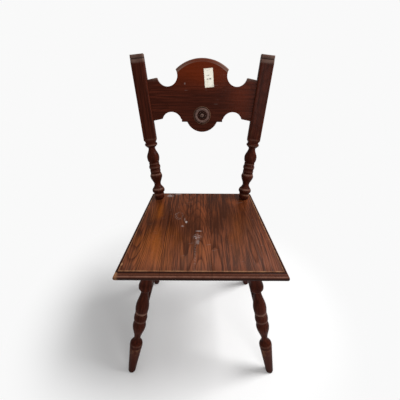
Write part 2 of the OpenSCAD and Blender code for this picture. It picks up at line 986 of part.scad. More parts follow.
module rosette_seat() {
    rosette_frame() {
        translate([0, 0, -rosette_seat_depth])
            cylinder(h = rosette_seat_depth + 20, r = rosette_radius + tenon_clearance);
        translate([0, 0, -rosette_seat_depth - rosette_spigot_length - tenon_clearance])
            cylinder(h = 20, r = rosette_spigot_radius + tenon_clearance);
    }
}

// Half section of the turned rosette: rim, groove, round ring, dish and button
module rosette_section() {
    rim_top = 1.2;
    difference() {
        union() {
            translate([0, -rosette_seat_depth])
                square([rosette_radius, rosette_seat_depth + rim_top]);
            translate([rosette_ring_radius, rosette_proud - 5])
                circle(r = 5);
        }
        translate([rosette_radius - 3.2, rim_top + 0.2])
            circle(r = 2);
        translate([rosette_radius - 8, rim_top])
            square([3, 3]);
        translate([-1, rosette_groove_floor])
            square([rosette_dish_radius + 1, 10]);
        translate([-40, -rosette_seat_depth - 20])
            square([40, 40]);
        translate([-1, -rosette_seat_depth - 20])
            square([rosette_radius + 2, 20]);
    }
    intersection() {
        translate([0, -rosette_seat_depth])
            circle(r = rosette_button_radius + 1);
        translate([0, -rosette_seat_depth])
            square([rosette_button_radius + 1, 10]);
    }
}

module rosette() {
    petal_radius = rosette_dish_radius * 0.17;
    petal_length = rosette_dish_radius - rosette_button_radius;
    color(stain_brown)
        placed()
            back_frame()
                rosette_frame() {
                    rotate_extrude()
                        rosette_section();
                    translate([0, 0, -rosette_seat_depth - rosette_spigot_length])
                        cylinder(h = rosette_spigot_length + 1, r = rosette_spigot_radius);
                    for (k = [1 : petal_count])
                        rotate([0, 0, 360 * k / petal_count])
                            translate([rosette_button_radius + 1.2, 0, rosette_groove_floor])
                                rotate([0, 90, 0])
                                    cylinder(h = petal_length, r = petal_radius, $fn = 24);
                }
}

// ---- Label ----

module price_label() {
    color(paper_cream)
        placed()
            back_frame()
                translate([label_place[0], rail_face, rail_height + label_place[1]])
                    rotate([0, label_turn, 0])
                        translate([-label_width / 2, -label_thickness, -label_height / 2])
                            cube([label_width, label_thickness, label_height]);
}

// ---- Wedges and pegs ----

module leg_wedges() {
    color(stain_warm)
        placed()
            for (side = [-1, 1])
                on_side(side) {
                    leg_wedge(front_leg_top, front_leg_foot, 0);
                    leg_wedge(rear_leg_top, rear_leg_foot, 0);
                }
}

module post_wedges() {
    color(stain_warm)
        placed()
            for (side = [-1, 1])
                on_side(side)
                    post_wedge(0);
}

// Pegs driven from behind through the posts into the rail's tenons
module pegs(grow) {
    for (side = [-1, 1])
        for (z = [-peg_spread, peg_spread]) {
            level = rail_height + rail_end_middle + z;
            across = post_inner_face(level) + rail_tenon_depth / 2;
            translate([side * across, post_thickness / 2 - peg_length - grow, level])
                rotate([-90, 0, 0])
                    cylinder(h = peg_length + 2 * grow, r = peg_radius + grow, $fn = 32);
        }
}

module crest_pegs() {
    color(stain_warm)
        placed()
            back_frame()
                pegs(0);
}

seat_board_left();
seat_board_centre();
seat_board_right();
batten_front();
batten_rear();
leg_front_left();
leg_front_right();
leg_rear_left();
leg_rear_right();
side_stretcher_left();
side_stretcher_right();
cross_stretcher();
post_left();
post_right();
crest_rail();
rosette();
price_label();
leg_wedges();
post_wedges();
crest_pegs();
batten_screws();
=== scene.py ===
"""Visual model of a plank-seat side chair with turned legs, raked posts and a carved crest."""

import math
from functools import reduce

import bmesh
import bpy
from bpy.props import FloatProperty, FloatVectorProperty, IntProperty, PointerProperty
from mathutils import Matrix, Vector


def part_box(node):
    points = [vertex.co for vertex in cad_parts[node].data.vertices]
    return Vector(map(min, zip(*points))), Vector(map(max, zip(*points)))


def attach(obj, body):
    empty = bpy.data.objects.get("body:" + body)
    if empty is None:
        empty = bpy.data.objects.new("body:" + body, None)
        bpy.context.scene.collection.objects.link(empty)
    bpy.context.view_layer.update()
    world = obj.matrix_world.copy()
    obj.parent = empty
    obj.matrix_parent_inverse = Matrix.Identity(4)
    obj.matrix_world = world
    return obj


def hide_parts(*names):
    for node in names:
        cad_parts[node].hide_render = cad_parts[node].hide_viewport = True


bl_info = {
    "name": "Plank-Seat Side Chair",
    "version": (1, 0, 0),
    "blender": (4, 5, 0),
    "location": "3D View > Sidebar > Chair",
    "description": "Builds the turned, carved and worn pieces of a plank-seat side chair",
    "category": "Object",
}

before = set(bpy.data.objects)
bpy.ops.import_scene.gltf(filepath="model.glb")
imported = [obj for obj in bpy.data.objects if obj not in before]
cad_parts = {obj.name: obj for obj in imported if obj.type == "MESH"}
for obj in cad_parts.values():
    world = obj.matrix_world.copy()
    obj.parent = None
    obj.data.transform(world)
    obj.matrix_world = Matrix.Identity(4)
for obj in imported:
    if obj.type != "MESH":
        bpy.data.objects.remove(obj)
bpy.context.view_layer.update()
BODY = "root"

# The seat's box, from which the chair's other places are measured
SEAT_LOW, SEAT_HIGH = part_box("seat_board_centre")
SEAT_MIDDLE_Y = (SEAT_LOW.y + SEAT_HIGH.y) / 2
FRONT_EDGE = SEAT_LOW.y
BACK_EDGE = SEAT_HIGH.y
BATTEN_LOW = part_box("batten_front")[0].z

# Places on the turnings that both the shapes and the finishes need
LEG_RING_DROP = 0.041  # a leg's ring below the stretchers
POST_BASE = 0.031  # the lowest ring of a post above the seat
POST_SLOPE_DROP = 0.026  # the start of a post's slope below its top


def length(name, default, description):
    """A size of the chair, in metres."""
    return FloatProperty(name=name, default=default, description=description, unit="LENGTH")


def colour(name, default, description):
    """A colour of the chair's finishes."""
    return FloatVectorProperty(
        name=name, default=default, description=description, subtype="COLOR", min=0, max=1
    )


class SeatSizes(bpy.types.PropertyGroup):
    """Sizes of the plank seat."""

    width_front: length("Front width", 0.443, "Width of the seat across its front edge")
    width_rear: length("Back width", 0.361, "Width of the seat across its back edge")
    thickness: length("Thickness", SEAT_HIGH.z - SEAT_LOW.z, "Thickness of the seat boards")
    height: length("Height", SEAT_HIGH.z, "Height of the seat's top face above the floor")
    moulding: length("Moulding", 0.011, "Width of the moulding on the front and side edges")
    back_round: length("Back rounding", 0.003, "Rounding of the seat's back edge")
    joint_left: length("Left joint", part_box("seat_board_centre")[0].x, "Place of the left joint")
    joint_right: length("Right joint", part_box("seat_board_centre")[1].x, "Place of the right joint")


class LegSizes(bpy.types.PropertyGroup):
    """Sizes of the turned legs and the stretchers between them."""

    radius: length("Largest radius", 0.0195, "Largest radius of a turned leg")
    foot_radius: length("Foot radius", 0.0116, "Radius of a foot's end")
    front_inset: length("Front inset", 0.0825, "Front leg's top in from the seat's front corner")
    front_setback: length("Front setback", 0.054, "Front leg's top behind the front edge")
    front_outset: length("Front foot", 0.0065, "Front foot outside the seat's front corner")
    front_foot_setback: length("Front foot setback", 0.0185, "Front foot behind the front edge")
    rear_inset: length("Rear inset", 0.046, "Rear leg's top in from the seat's back corner")
    rear_setback: length("Rear setback", 0.080, "Rear leg's top in front of the back edge")
    rear_outset: length("Rear foot", 0.016, "Rear foot outside the seat's back corner")
    rear_foot_reach: length("Rear foot reach", 0.001, "Rear foot behind the back edge")
    stretcher_height: length("Stretcher height", 0.268, "Height of the stretchers' middles")
    stretcher_radius: length("Stretcher radius", 0.0145, "Radius of a side stretcher's ends")
    swell_radius: length("Stretcher swell", 0.0175, "Radius of a side stretcher's middle")
    cross_radius: length("Cross radius", 0.014, "Radius of the cross stretcher's middle")
    tenon_radius: length("Stretcher tenon", 0.007, "Radius of the stretchers' tenons")
    tenon_length: length("Tenon length", 0.011, "Length of the stretchers' tenons")


class PostSizes(bpy.types.PropertyGroup):
    """Sizes of the raked posts."""

    rake: FloatProperty(
        name="Rake", default=math.radians(10.6), description="Rake of the back", unit="ROTATION"
    )
    lean: FloatProperty(
        name="Lean", default=math.radians(6.2), description="Outward lean", unit="ROTATION"
    )
    reach: length("Length", 0.4575, "Length of a post above the seat")
    inset: length("Inset", 0.034, "Post's foot in from the seat's back corner")
    setback: length("Setback", 0.035, "Post's foot in front of the seat's back edge")
    width: length("Width", 0.041, "Width of the flat upper part")
    thickness: length("Thickness", 0.024, "Thickness of the flat upper part")
    corner: length("Corner", 0.004, "Rounding of the flat part's corners")
    tenon_radius: length("Tenon radius", 0.0115, "Radius of the tenon at a post's foot")
    rail_drop: length("Rail drop", 0.1305, "Crest rail's middle below the posts' tops")
    rail_clear: length("Rail clearance", 0.138, "End of the turned part below the rail's middle")


class CrestSizes(bpy.types.PropertyGroup):
    """Sizes of the crest rail, its rosette and the paper label."""

    thickness: length("Thickness", 0.018, "Thickness of the crest rail")
    recess: length("Recess", 0.0045, "Rail's face behind the posts' faces")
    end_depth: length("End depth", 0.1235, "Depth of the rail at its ends")
    arch_radius: length("Arch radius", 0.120, "Radius of the arched middle")
    arch_rise: length("Arch rise", 0.119, "Top of the arch above the rail's middle")
    arch_round: length("Arch rounding", 0.009, "Rounding of the arch's front edge")
    notch_radius: length("Notch radius", 0.0315, "Radius of the four round notches")
    lobe_radius: length("Lobe radius", 0.051, "Radius of the lobe round the rosette")
    lobe_drop: length("Lobe drop", 0.046, "Middle of the lobe below the rail's middle")
    rosette_radius: length("Rosette radius", 0.027, "Radius of the rosette")
    petals: IntProperty(name="Petals", default=12, description="Petals in the rosette", min=4)
    label_width: length("Label width", 0.0275, "Width of the paper label")
    label_height: length("Label height", 0.054, "Height of the paper label")


class Finishes(bpy.types.PropertyGroup):
    """Colours of the stain, the paper and the steel."""

    # Dark stain, also used for painted shade in grooves, under the seat's nose and on the lower legs
    dark_stain_and_shade: colour("Dark stain", (0.012, 0.0035, 0.0025), "Stain in the pores and hollows")
    stain_red: colour("Red stain", (0.060, 0.0125, 0.0062), "Red-brown stain on the crest")
    stain_seat: colour("Seat stain", (0.115, 0.030, 0.0105), "Rubbed brown stain on the seat")
    bare_wood: colour("Worn wood", (0.34, 0.17, 0.085), "Wood where the finish has gone")
    dust: colour("Dust", (0.46, 0.40, 0.38), "Dust and dried splashes")
    # Painted sheen: a milky reflection painted into the seat's colour
    painted_sheen: colour("Bloom", (0.34, 0.225, 0.20), "Milky bloom in the seat's varnish")
    # Wear and painted highlights: pale rings on the turnings, and the seat's arris
    wear_and_highlight: colour("Rubbed bead", (0.250, 0.138, 0.100), "Varnish rubbed pale on turned beads")
    amber: colour("Amber", (0.300, 0.080, 0.010), "Warm varnish where the seat is less worn")
    moulding: colour("Moulding", (0.082, 0.026, 0.015), "Stain on the seat's moulded edge")
    # Painted highlight with wear on the nose of the seat's edge
    nose: colour("Rubbed nose", (0.25, 0.120, 0.085), "Rubbed nose of the seat's edge")
    ember: colour("Ember", (0.150, 0.020, 0.003), "Deep red stain at the top of the crest")
    # Painted highlights on the arch's rounding, at its foot and, with wear, on its outer edge
    arch_highlight_band: colour("Arch band", (0.150, 0.100, 0.078), "Rubbed rounding of the arch")
    arch_highlight_line: colour("Arch line", (0.28, 0.19, 0.15), "Line at the foot of the arch's rounding")
    arch_rim_wear_and_highlight: colour("Arch rim", (0.30, 0.22, 0.18), "Rubbed outer edge of the arch")
    # Painted highlight on the posts' rolled tops
    post_top_highlight: colour("Rolled top", (0.135, 0.085, 0.068), "Rubbed tops of the posts")
    # Painted highlights on the rosette's petals and ring
    petal_highlight: colour("Petals", (0.200, 0.128, 0.106), "Rubbed petals and ring of the rosette")
    # Painted highlight on the rosette's button
    button: colour("Button", (0.235, 0.150, 0.120), "Rubbed button of the rosette")
    paper: colour("Paper", (0.95, 0.92, 0.80), "Paper of the label")
    paper_stain: colour("Paper stain", (0.72, 0.60, 0.40), "Stains on the label")
    paper_edge: colour("Paper edge", (0.50, 0.38, 0.24), "Soiled edge of the label")
    ink: colour("Ink", (0.10, 0.11, 0.12), "Faded ink on the label")
    steel: colour("Steel", (0.30, 0.29, 0.28), "Aged steel of the screws")
    tarnish: colour("Tarnish", (0.09, 0.05, 0.03), "Tarnish on the screws")
    floor: colour("Floor", (0.93, 0.93, 0.93), "Floor of the studio")
    backdrop: colour("Backdrop", (0.948, 0.948, 0.948), "White round the chair")


# ---- Materials ----


class Value:
    """A socket of a material that takes part in ordinary arithmetic."""

    def __init__(self, graph, socket):
        self.graph, self.socket = graph, socket

    def __add__(self, other):
        return self.graph.math("ADD", self, other)

    def __sub__(self, other):
        return self.graph.math("SUBTRACT", self, other)

    def __rsub__(self, other):
        return self.graph.math("SUBTRACT", other, self)

    def __mul__(self, other):
        return self.graph.math("MULTIPLY", self, other)

    def __truediv__(self, other):
        return self.graph.math("DIVIDE", self, other)

    def __abs__(self):
        return self.graph.math("ABSOLUTE", self)

    __radd__ = __add__
    __rmul__ = __mul__

    def fract(self):
        return self.graph.math("FRACT", self)

    def clamped(self):
        return self.graph.math("ADD", self, 0.0, clamp=True)

    def least(self, other):
        return self.graph.math("MINIMUM", self, other)

    def most(self, other):
        return self.graph.math("MAXIMUM", self, other)

    def step(self, low, high):
        """0 below low and 1 above high, with a smooth rise between; low may be the higher."""
        return self.graph.node(
            "ShaderNodeMapRange",
            {"interpolation_type": "SMOOTHSTEP"},
            {0: self, 1: low, 2: high, 3: 0.0, 4: 1.0},
        )

    def band(self, start, full, fading, end):
        """1 from full to fading, and 0 before start and after end."""
        return self.step(start, full) * self.step(end, fading)


class Graph:
    """The node tree of a material or of the world."""

    def __init__(self, owner, output):
        owner.use_nodes = True
        self.owner, self.tree = owner, owner.node_tree
        self.tree.nodes.clear()
        self.output = self.tree.nodes.new(output)

    def put(self, target, value):
        """Gives a socket a number, a colour or a link."""
        if isinstance(value, Value):
            self.tree.links.new(value.socket, target)
        elif hasattr(value, "__len__") and target.type == "RGBA" and len(value) == 3:
            target.default_value = (*value, 1.0)
        else:
            target.default_value = value

    def node(self, kind, settings=None, sockets=None, output=0):
        """Adds a node, sets it up, fills its sockets and returns one of its outputs."""
        added = self.tree.nodes.new(kind)
        for name, value in (settings or {}).items():
            setattr(added, name, value)
        for name, value in (sockets or {}).items():
            self.put(added.inputs[name], value)
        return Value(self, added.outputs[output])

    def math(self, operation, first, second=0.0, clamp=False):
        settings = {"operation": operation, "use_clamp": clamp}
        return self.node("ShaderNodeMath", settings, {0: first, 1: second})

    def split(self, vector):
        return [self.node("ShaderNodeSeparateXYZ", {}, {0: vector}, k) for k in range(3)]

    def join(self, x, y, z):
        return self.node("ShaderNodeCombineXYZ", {}, {0: x, 1: y, 2: z})

    def mix(self, factor, first, second):
        """Mixes two colours."""
        settings = {"data_type": "RGBA", "clamp_factor": True}
        return self.node("ShaderNodeMix", settings, {0: factor, 6: first, 7: second}, 2)

    def mix_shaders(self, factor, first, second):
        return self.node("ShaderNodeMixShader", {}, {0: factor, 1: first, 2: second})

    def noise(self, vector, scale, detail=2.0, roughness=0.5):
        sockets = {"Vector": vector, "Scale": scale, "Detail": detail, "Roughness": roughness}
        return self.node("ShaderNodeTexNoise", {}, sockets)

    def cells(self, vector, scale):
        """Distance to the nearest of many scattered points."""
        return self.node("ShaderNodeTexVoronoi", {}, {"Vector": vector, "Scale": scale})

    def ray(self, kind):
        """1 for rays of one kind, such as the camera's own."""
        return self.node("ShaderNodeLightPath", {}, {}, kind)

    def own_place(self):
        """The point in the piece's own frame, kept on new pieces as they were made."""
        return self.node("ShaderNodeAttribute", {"attribute_name": "own_place"}, {}, 1)

    def chair_place(self):
        """The point in the chair's frame."""
        return self.node("ShaderNodeTexCoord", {}, {}, 3)

    def rub(self):
        """How proud an edge or bead stands, from 0 to 1."""
        return self.node("ShaderNodeAttribute", {"attribute_name": "rub"}, {}, 2)

    def hollow(self):
        """How deep a groove or neck lies, from 0 to 1."""
        return self.node("ShaderNodeAttribute", {"attribute_name": "hollow"}, {}, 2)

    def distance(self, x, y):
        """Distance of a point from the origin, across two of its directions."""
        return self.math("SQRT", x * x + y * y)

    def spot(self, x, y, centre, size, softness, ragged):
        """A soft round mark: 1 inside an ellipse and 0 outside."""
        across = (x - centre[0]) / size[0]
        along = (y - centre[1]) / size[1]
        return (self.distance(across, along) + ragged).step(1.0 + softness, 1.0 - softness)

    def spots(self, x, y, rows, softness, ragged):
        """Several soft marks at once: rows of a centre, a half size and a strength."""
        marks = [
            self.spot(x, y, centre, size, softness, ragged) * strength
            for centre, size, strength in rows
        ]
        return reduce(Value.most, marks)

    def bump(self, height, strength, distance):
        sockets = {"Height": height, "Strength": strength, "Distance": distance}
        return self.node("ShaderNodeBump", {}, sockets)


class MaterialGraph(Graph):
    """The node tree of one material, with its main shader."""

    def __init__(self, name):
        super().__init__(bpy.data.materials.new(name), "ShaderNodeOutputMaterial")
        self.shader = self.tree.nodes.new("ShaderNodeBsdfPrincipled")
        self.tree.links.new(self.shader.outputs[0], self.output.inputs[0])

    def finish(self, sockets):
        for name, value in sockets.items():
            self.put(self.shader.inputs[name], value)
        return self.owner


class Grain:
    """Ring-porous wood grain along one direction of a board or a turning."""

    def __init__(self, graph, place, along, seed, spacing=1.0):
        x, y, z = graph.split(place)
        across, thick, run = {"x": (z, y, x), "y": (x, z, y), "z": (x, y, z)}[along]
        wide = graph.join(across * 7 + seed, thick * 7, run * 0.95 + seed * 0.37)
        swell = graph.noise(wide, 1.0, 1.0, 0.4)
        waver = graph.noise(graph.join(across * 40, thick * 40, run * 9 + seed), 1.0, 2.0)
        # Growth rings show as flames, which are level lines of a long, slow swell
        growth = (swell * 46 + across * 95 + waver * 0.9) * spacing
        saw = growth.fract()
        self.ring = saw.step(0.55, 0.02) * saw.step(-0.02, 0.08)
        fine = graph.join(across * 640 + seed, thick * 640, run * 19)
        pores = graph.noise(fine, 1.0, 2.0, 0.65)
        streaks = graph.join(across * 230 + seed, thick * 230, run * 9)
        self.streaks = graph.noise(streaks, 1.0, 3.0, 0.65)
        self.open_pores = pores.step(0.47, 0.63) * (0.35 + self.ring * 0.65)


def stained(graph, grain, dark, light, depth=0.75, crisp=0.17):
    """Stain that has sunk into the pores and the soft part of each ring."""
    body = graph.mix(grain.streaks.step(0.51 - crisp, 0.51 + crisp), light, dark)
    ringed = graph.mix(grain.ring * depth, body, dark)
    return graph.mix(grain.open_pores * 0.85, ringed, dark)


def scaled(shade, factor):
    return tuple(min(1.0, part * factor) for part in shade)


def seat_finish(name, seed, warmth):
    """Worn varnish on the seat: open grain front to back, scuffs, dried drips and stains."""
    tones = bpy.context.scene.chair_finishes
    seat = bpy.context.scene.chair_seat
    graph = MaterialGraph(name)
    place = graph.chair_place()
    x, y_frame, z = graph.split(place)
    y = y_frame - SEAT_MIDDLE_Y
    grain = Grain(graph, place, "y", seed)
    light = scaled(tones.stain_seat, 1.66 + 0.20 * warmth)
    wood = stained(graph, grain, scaled(tones.stain_seat, 0.34), light, 0.55, 0.09)
    broken = graph.noise(graph.join(x * 60, y * 60, z * 60), 1.0, 3.0, 0.6)

    # Broad patches: dark across the middle and the back, amber at the left and along the front,
    # and a pale painted sheen to the front
    cloud = graph.noise(graph.join(x * 1.6, y * 0.8, 0.0), 13.0, 3.0, 0.55)
    ragged = (cloud - 0.5) * 1.7
    dark_left = graph.spot(x, y, (-0.096, 0.020), (0.078, 0.088), 0.6, ragged)
    dark_right = graph.spot(x, y, (0.108, 0.032), (0.078, 0.100), 0.6, ragged)
    dark_middle = graph.spot(x, y, (0.000, -0.015), (0.045, 0.060), 0.7, ragged)
    dark_rear = (y + (cloud - 0.5) * 0.16).step(0.02, 0.17)
    bands = graph.noise(graph.join(x * 34, y * 3.0, seed), 1.0, 2.0).step(0.42, 0.58)
    shade = dark_left * 1.00 + dark_right * 0.95 + dark_middle * 0.42 + dark_rear * 0.20
    shade = shade * (0.72 + bands * 0.28) + bands * 0.18
    wood = graph.mix(shade.clamped() * 0.80, wood, scaled(tones.stain_seat, 0.38))
    amber_patches = (
        ((-0.128, -0.112), (0.050, 0.085), 1.0),
        ((-0.150, 0.085), (0.022, 0.045), 0.9),
        ((-0.020, -0.120), (0.060, 0.060), 0.45),
        ((0.120, -0.060), (0.040, 0.090), 0.40),
    )
    amber = graph.spots(x, y, amber_patches, 0.8, ragged)
    lit = (1 - grain.ring) * (1 - grain.open_pores * 0.7)
    wood = graph.mix(amber * lit * (0.75 - bands * 0.45), wood, tones.amber)
    # Painted sheen: a pale milky reflection painted towards the front right, brightest between the
    # pores
    painted_sheen = (y * -1.0 + x * 0.35 + (cloud - 0.5) * 0.12).step(-0.06, 0.26)
    wood = graph.mix(painted_sheen * (0.06 + lit * 0.085), wood, tones.painted_sheen)

    # Edge of the seat: painted shade in the moulding's hollows, wear and painted highlights along its
    # proud lines
    flank = seat.width_front / 2 - (y_frame - FRONT_EDGE) * side_slope(seat) - abs(x)
    inward = (y_frame - FRONT_EDGE).least(flank)
    past_moulding = inward - seat.moulding
    arris = past_moulding.band(-0.001, 0, 0.0018, 0.0032)
    top = z.step(seat.height - 0.0022, seat.height - 0.0006)
    chipped = broken.step(0.30, 0.62)
    border = past_moulding.step(0.030, 0.004)
    wood = graph.mix(border * top * 0.22, wood, scaled(tones.stain_seat, 0.45))
    below = seat.height - z
    hollow = below.band(0.0008, 0.0016, 0.0023, 0.0032)
    quirk = below.band(0.0062, 0.0068, 0.0074, 0.0082)
    nose = below.band(0.0074, 0.0084, 0.0100, 0.0118)
    shaded_underband = below.step(0.0105, 0.0150)
    outer = inward.step(seat.moulding + 0.0008, seat.moulding - 0.0004)
    at_front = flank.step(0.003, 0.016)
    wood = graph.mix(outer * 0.80, wood, tones.moulding)
    # Painted shade in the moulding's step and quirk
    wood = graph.mix(outer * (hollow + quirk * 0.4).clamped() * 0.85, wood, tones.dark_stain_and_shade)
    # Painted shade on the band under the nose
    wood = graph.mix(outer * shaded_underband * 0.88, wood, scaled(tones.dark_stain_and_shade, 0.9))
    # Painted highlight along the nose, broken like wear
    wood = graph.mix(outer * nose * (0.30 + chipped * 0.35), wood, tones.nose)
    # Wear on the arris, most at the front, and a painted highlight on the right side
    wear_and_highlight = at_front * 0.78 + (1 - at_front) * (x.step(-0.05, 0.10) * 0.45 + 0.07)
    wood = graph.mix(arris * top * wear_and_highlight * (0.30 + chipped * 0.60), wood, tones.bare_wood)

    # Marks: a dried ring, pale drips, a dash, a smear and its trail to the front, two rubbed
    # spots at the back, and chips at the left front corner
    wobble = (graph.noise(graph.join(x, y, 0.0), 150.0, 3.0, 0.7) - 0.5) * 2.4
    patchy = graph.noise(graph.join(x, y, 0.3), 230.0, 2.0).step(0.42, 0.60)
    ring_out = graph.spot(x, y, (-0.071, 0.057), (0.0125, 0.020), 0.25, wobble * 0.7)
    ring_in = graph.spot(x, y, (-0.070, 0.058), (0.0090, 0.015), 0.25, wobble * 0.7)
    ring = (ring_out - ring_in).clamped() * patchy
    faint_drips = (
        ((-0.058, 0.001), (0.0036, 0.0042), 0.4),
        ((-0.053, 0.036), (0.0016, 0.0080), 0.3),
    )
    drips = graph.spot(x, y, (-0.047, 0.022), (0.0030, 0.0050), 0.5, wobble * 0.8)
    drips = drips.most(graph.spots(x, y, faint_drips, 0.6, wobble))
    dash = graph.spot(x, y, (-0.0075, -0.024), (0.0085, 0.0018), 0.45, wobble * 0.6)
    smear = graph.spot(x, y, (-0.0125, -0.052), (0.0105, 0.0105), 0.5, wobble) * patchy
    smear = smear.most(graph.spot(x, y, (-0.0105, -0.074), (0.0045, 0.0100), 0.5, wobble) * 0.6)
    trail = graph.spot(x, y, (-0.017, -0.125), (0.0022, 0.070), 0.8, wobble * 0.6) * patchy
    pale = reduce(Value.most, (ring * 0.20, drips * 0.75, dash * 0.55, smear * 0.42, trail * 0.12))
    wood = graph.mix(pale * top, wood, tones.dust)
    rear_spots = (((-0.111, 0.182), (0.010, 0.007), 1.0), ((-0.084, 0.194), (0.010, 0.004), 1.0))
    rear_rub = graph.spots(x, y, rear_spots, 0.7, wobble)
    chip = graph.spot(x, y, (-0.205, -0.166), (0.0030, 0.0055), 0.4, wobble * 0.6)
    corner = graph.spot(x, y, (-0.216, -0.197), (0.006, 0.005), 0.6, wobble * 0.6)
    wood = graph.mix(rear_rub * 0.42, wood, tones.dust)
    wood = graph.mix((chip * 0.9).most(corner * 0.8), wood, tones.bare_wood)

    # Fine scratches and specks of dust over the whole top
    scratch_place = graph.join(x * 24 + y * 11, y * 330 - x * 90, seed)
    scratches = graph.noise(scratch_place, 1.0, 1.0).step(0.74, 0.80) * top
    specks = graph.cells(graph.join(x, y, seed), 120.0).step(0.09, 0.03) * broken.step(0.6, 0.72)
    wood = graph.mix((scratches * 0.12).most(specks * top * 0.45), wood, tones.dust)

    # Joints between the boards gather a thin dark line
    for joint in (seat.joint_left, seat.joint_right):
        line = abs(x - joint).step(0.0013, 0.0004)
        wood = graph.mix(line * 0.55, wood, tones.dark_stain_and_shade)

    dull = pale * 0.5 + arris * 0.2 + cloud.step(0.35, 0.75) * 0.14
    depth = grain.open_pores * -0.6 + grain.ring * -0.25 + cloud * 0.3 - scratches * 0.2
    return graph.finish(
        {
            "Base Color": wood,
            "Roughness": (0.30 + dull + grain.open_pores * 0.12).clamped(),
            "Specular IOR Level": 0.02,
            "Coat Weight": (0.038 - dull * 0.05).clamped(),
            "Coat Roughness": 0.20,
            "Normal": graph.bump(depth, 0.3, 0.0006),
        }
    )


def turned_finish(name, seed, crown=None, highlight_rings=(), foot=0.0):
    """Dark stain on turned work: nearly black in the hollows, rubbed brown on the beads.

    Highlight rings are painted pale, partly wear and partly painted highlight: rows of a height, a
    half width and a strength. The foot is the height below which a leg is painted darker, a painted
    shade, and the crown is the height of a post's top.
    """
    tones = bpy.context.scene.chair_finishes
    graph = MaterialGraph(name)
    place = graph.own_place()
    grain = Grain(graph, place, "z", seed, 1.3)
    base = scaled(tones.stain_red, 0.98)
    wood = stained(graph, grain, scaled(tones.stain_red, 0.42), base, 0.40)
    x, y, z = graph.split(place)
    broken = graph.noise(graph.join(x * 70, y * 70, z * 45), 1.0, 3.0, 0.6)
    proud = graph.rub()
    wood = graph.mix(graph.hollow() * 0.85, wood, scaled(tones.dark_stain_and_shade, 0.8))
    wood = graph.mix(proud * 0.45, wood, scaled(tones.stain_red, 2.0))
    worn = proud.step(0.45, 1.0) * broken.step(0.46, 0.66)
    wood = graph.mix(worn * 0.50, wood, scaled(tones.bare_wood, 0.8))
    scuffs = graph.noise(graph.join(x * 55, y * 55, z * 14), 1.0, 3.0, 0.65).step(0.66, 0.78)
    wood = graph.mix(scuffs * 0.25, wood, scaled(tones.bare_wood, 0.5))
    # Painted highlights on the rings, broken like wear
    for level, half, share in highlight_rings:
        highlight_ring = abs(z - level).step(half, half * 0.3) * (0.45 + broken.step(0.35, 0.65) * 0.55)
        wood = graph.mix(highlight_ring * share, wood, tones.wear_and_highlight)
    if foot > 0:
        # Painted shade: the lower legs are painted darker towards the floor
        wood = graph.mix(z.step(foot, foot * 0.75) * 0.48, wood, scaled(tones.dark_stain_and_shade, 1.5))
    if crown is not None:
        # Painted highlight on the rolled top and the slope below it, and painted shade in the groove
        slope = z.step(crown - 0.027, crown - 0.019) * y.step(0.004, -0.006)
        groove = z.band(crown - 0.0145, crown - 0.0125, crown - 0.0115, crown - 0.0095)
        rolled = z.step(crown - 0.0100, crown - 0.0070)
        pale = slope.most(rolled) * (0.45 + broken.step(0.35, 0.65) * 0.30)
        wood = graph.mix(pale, wood, tones.post_top_highlight)
        wood = graph.mix(groove * 0.8, wood, scaled(tones.dark_stain_and_shade, 0.8))
    height = grain.open_pores * -0.6 + grain.ring * -0.15 - scuffs * 0.3
    return graph.finish(
        {
            "Base Color": wood,
            "Roughness": (0.26 + broken * 0.16 + scuffs * 0.18 + worn * 0.1).clamped(),
            "Specular IOR Level": 0.012,
            "Coat Weight": (0.030 - scuffs * 0.02 - worn * 0.02).clamped(),
            "Coat Roughness": 0.14,
            "Normal": graph.bump(height, 0.22, 0.0005),
        }
    )


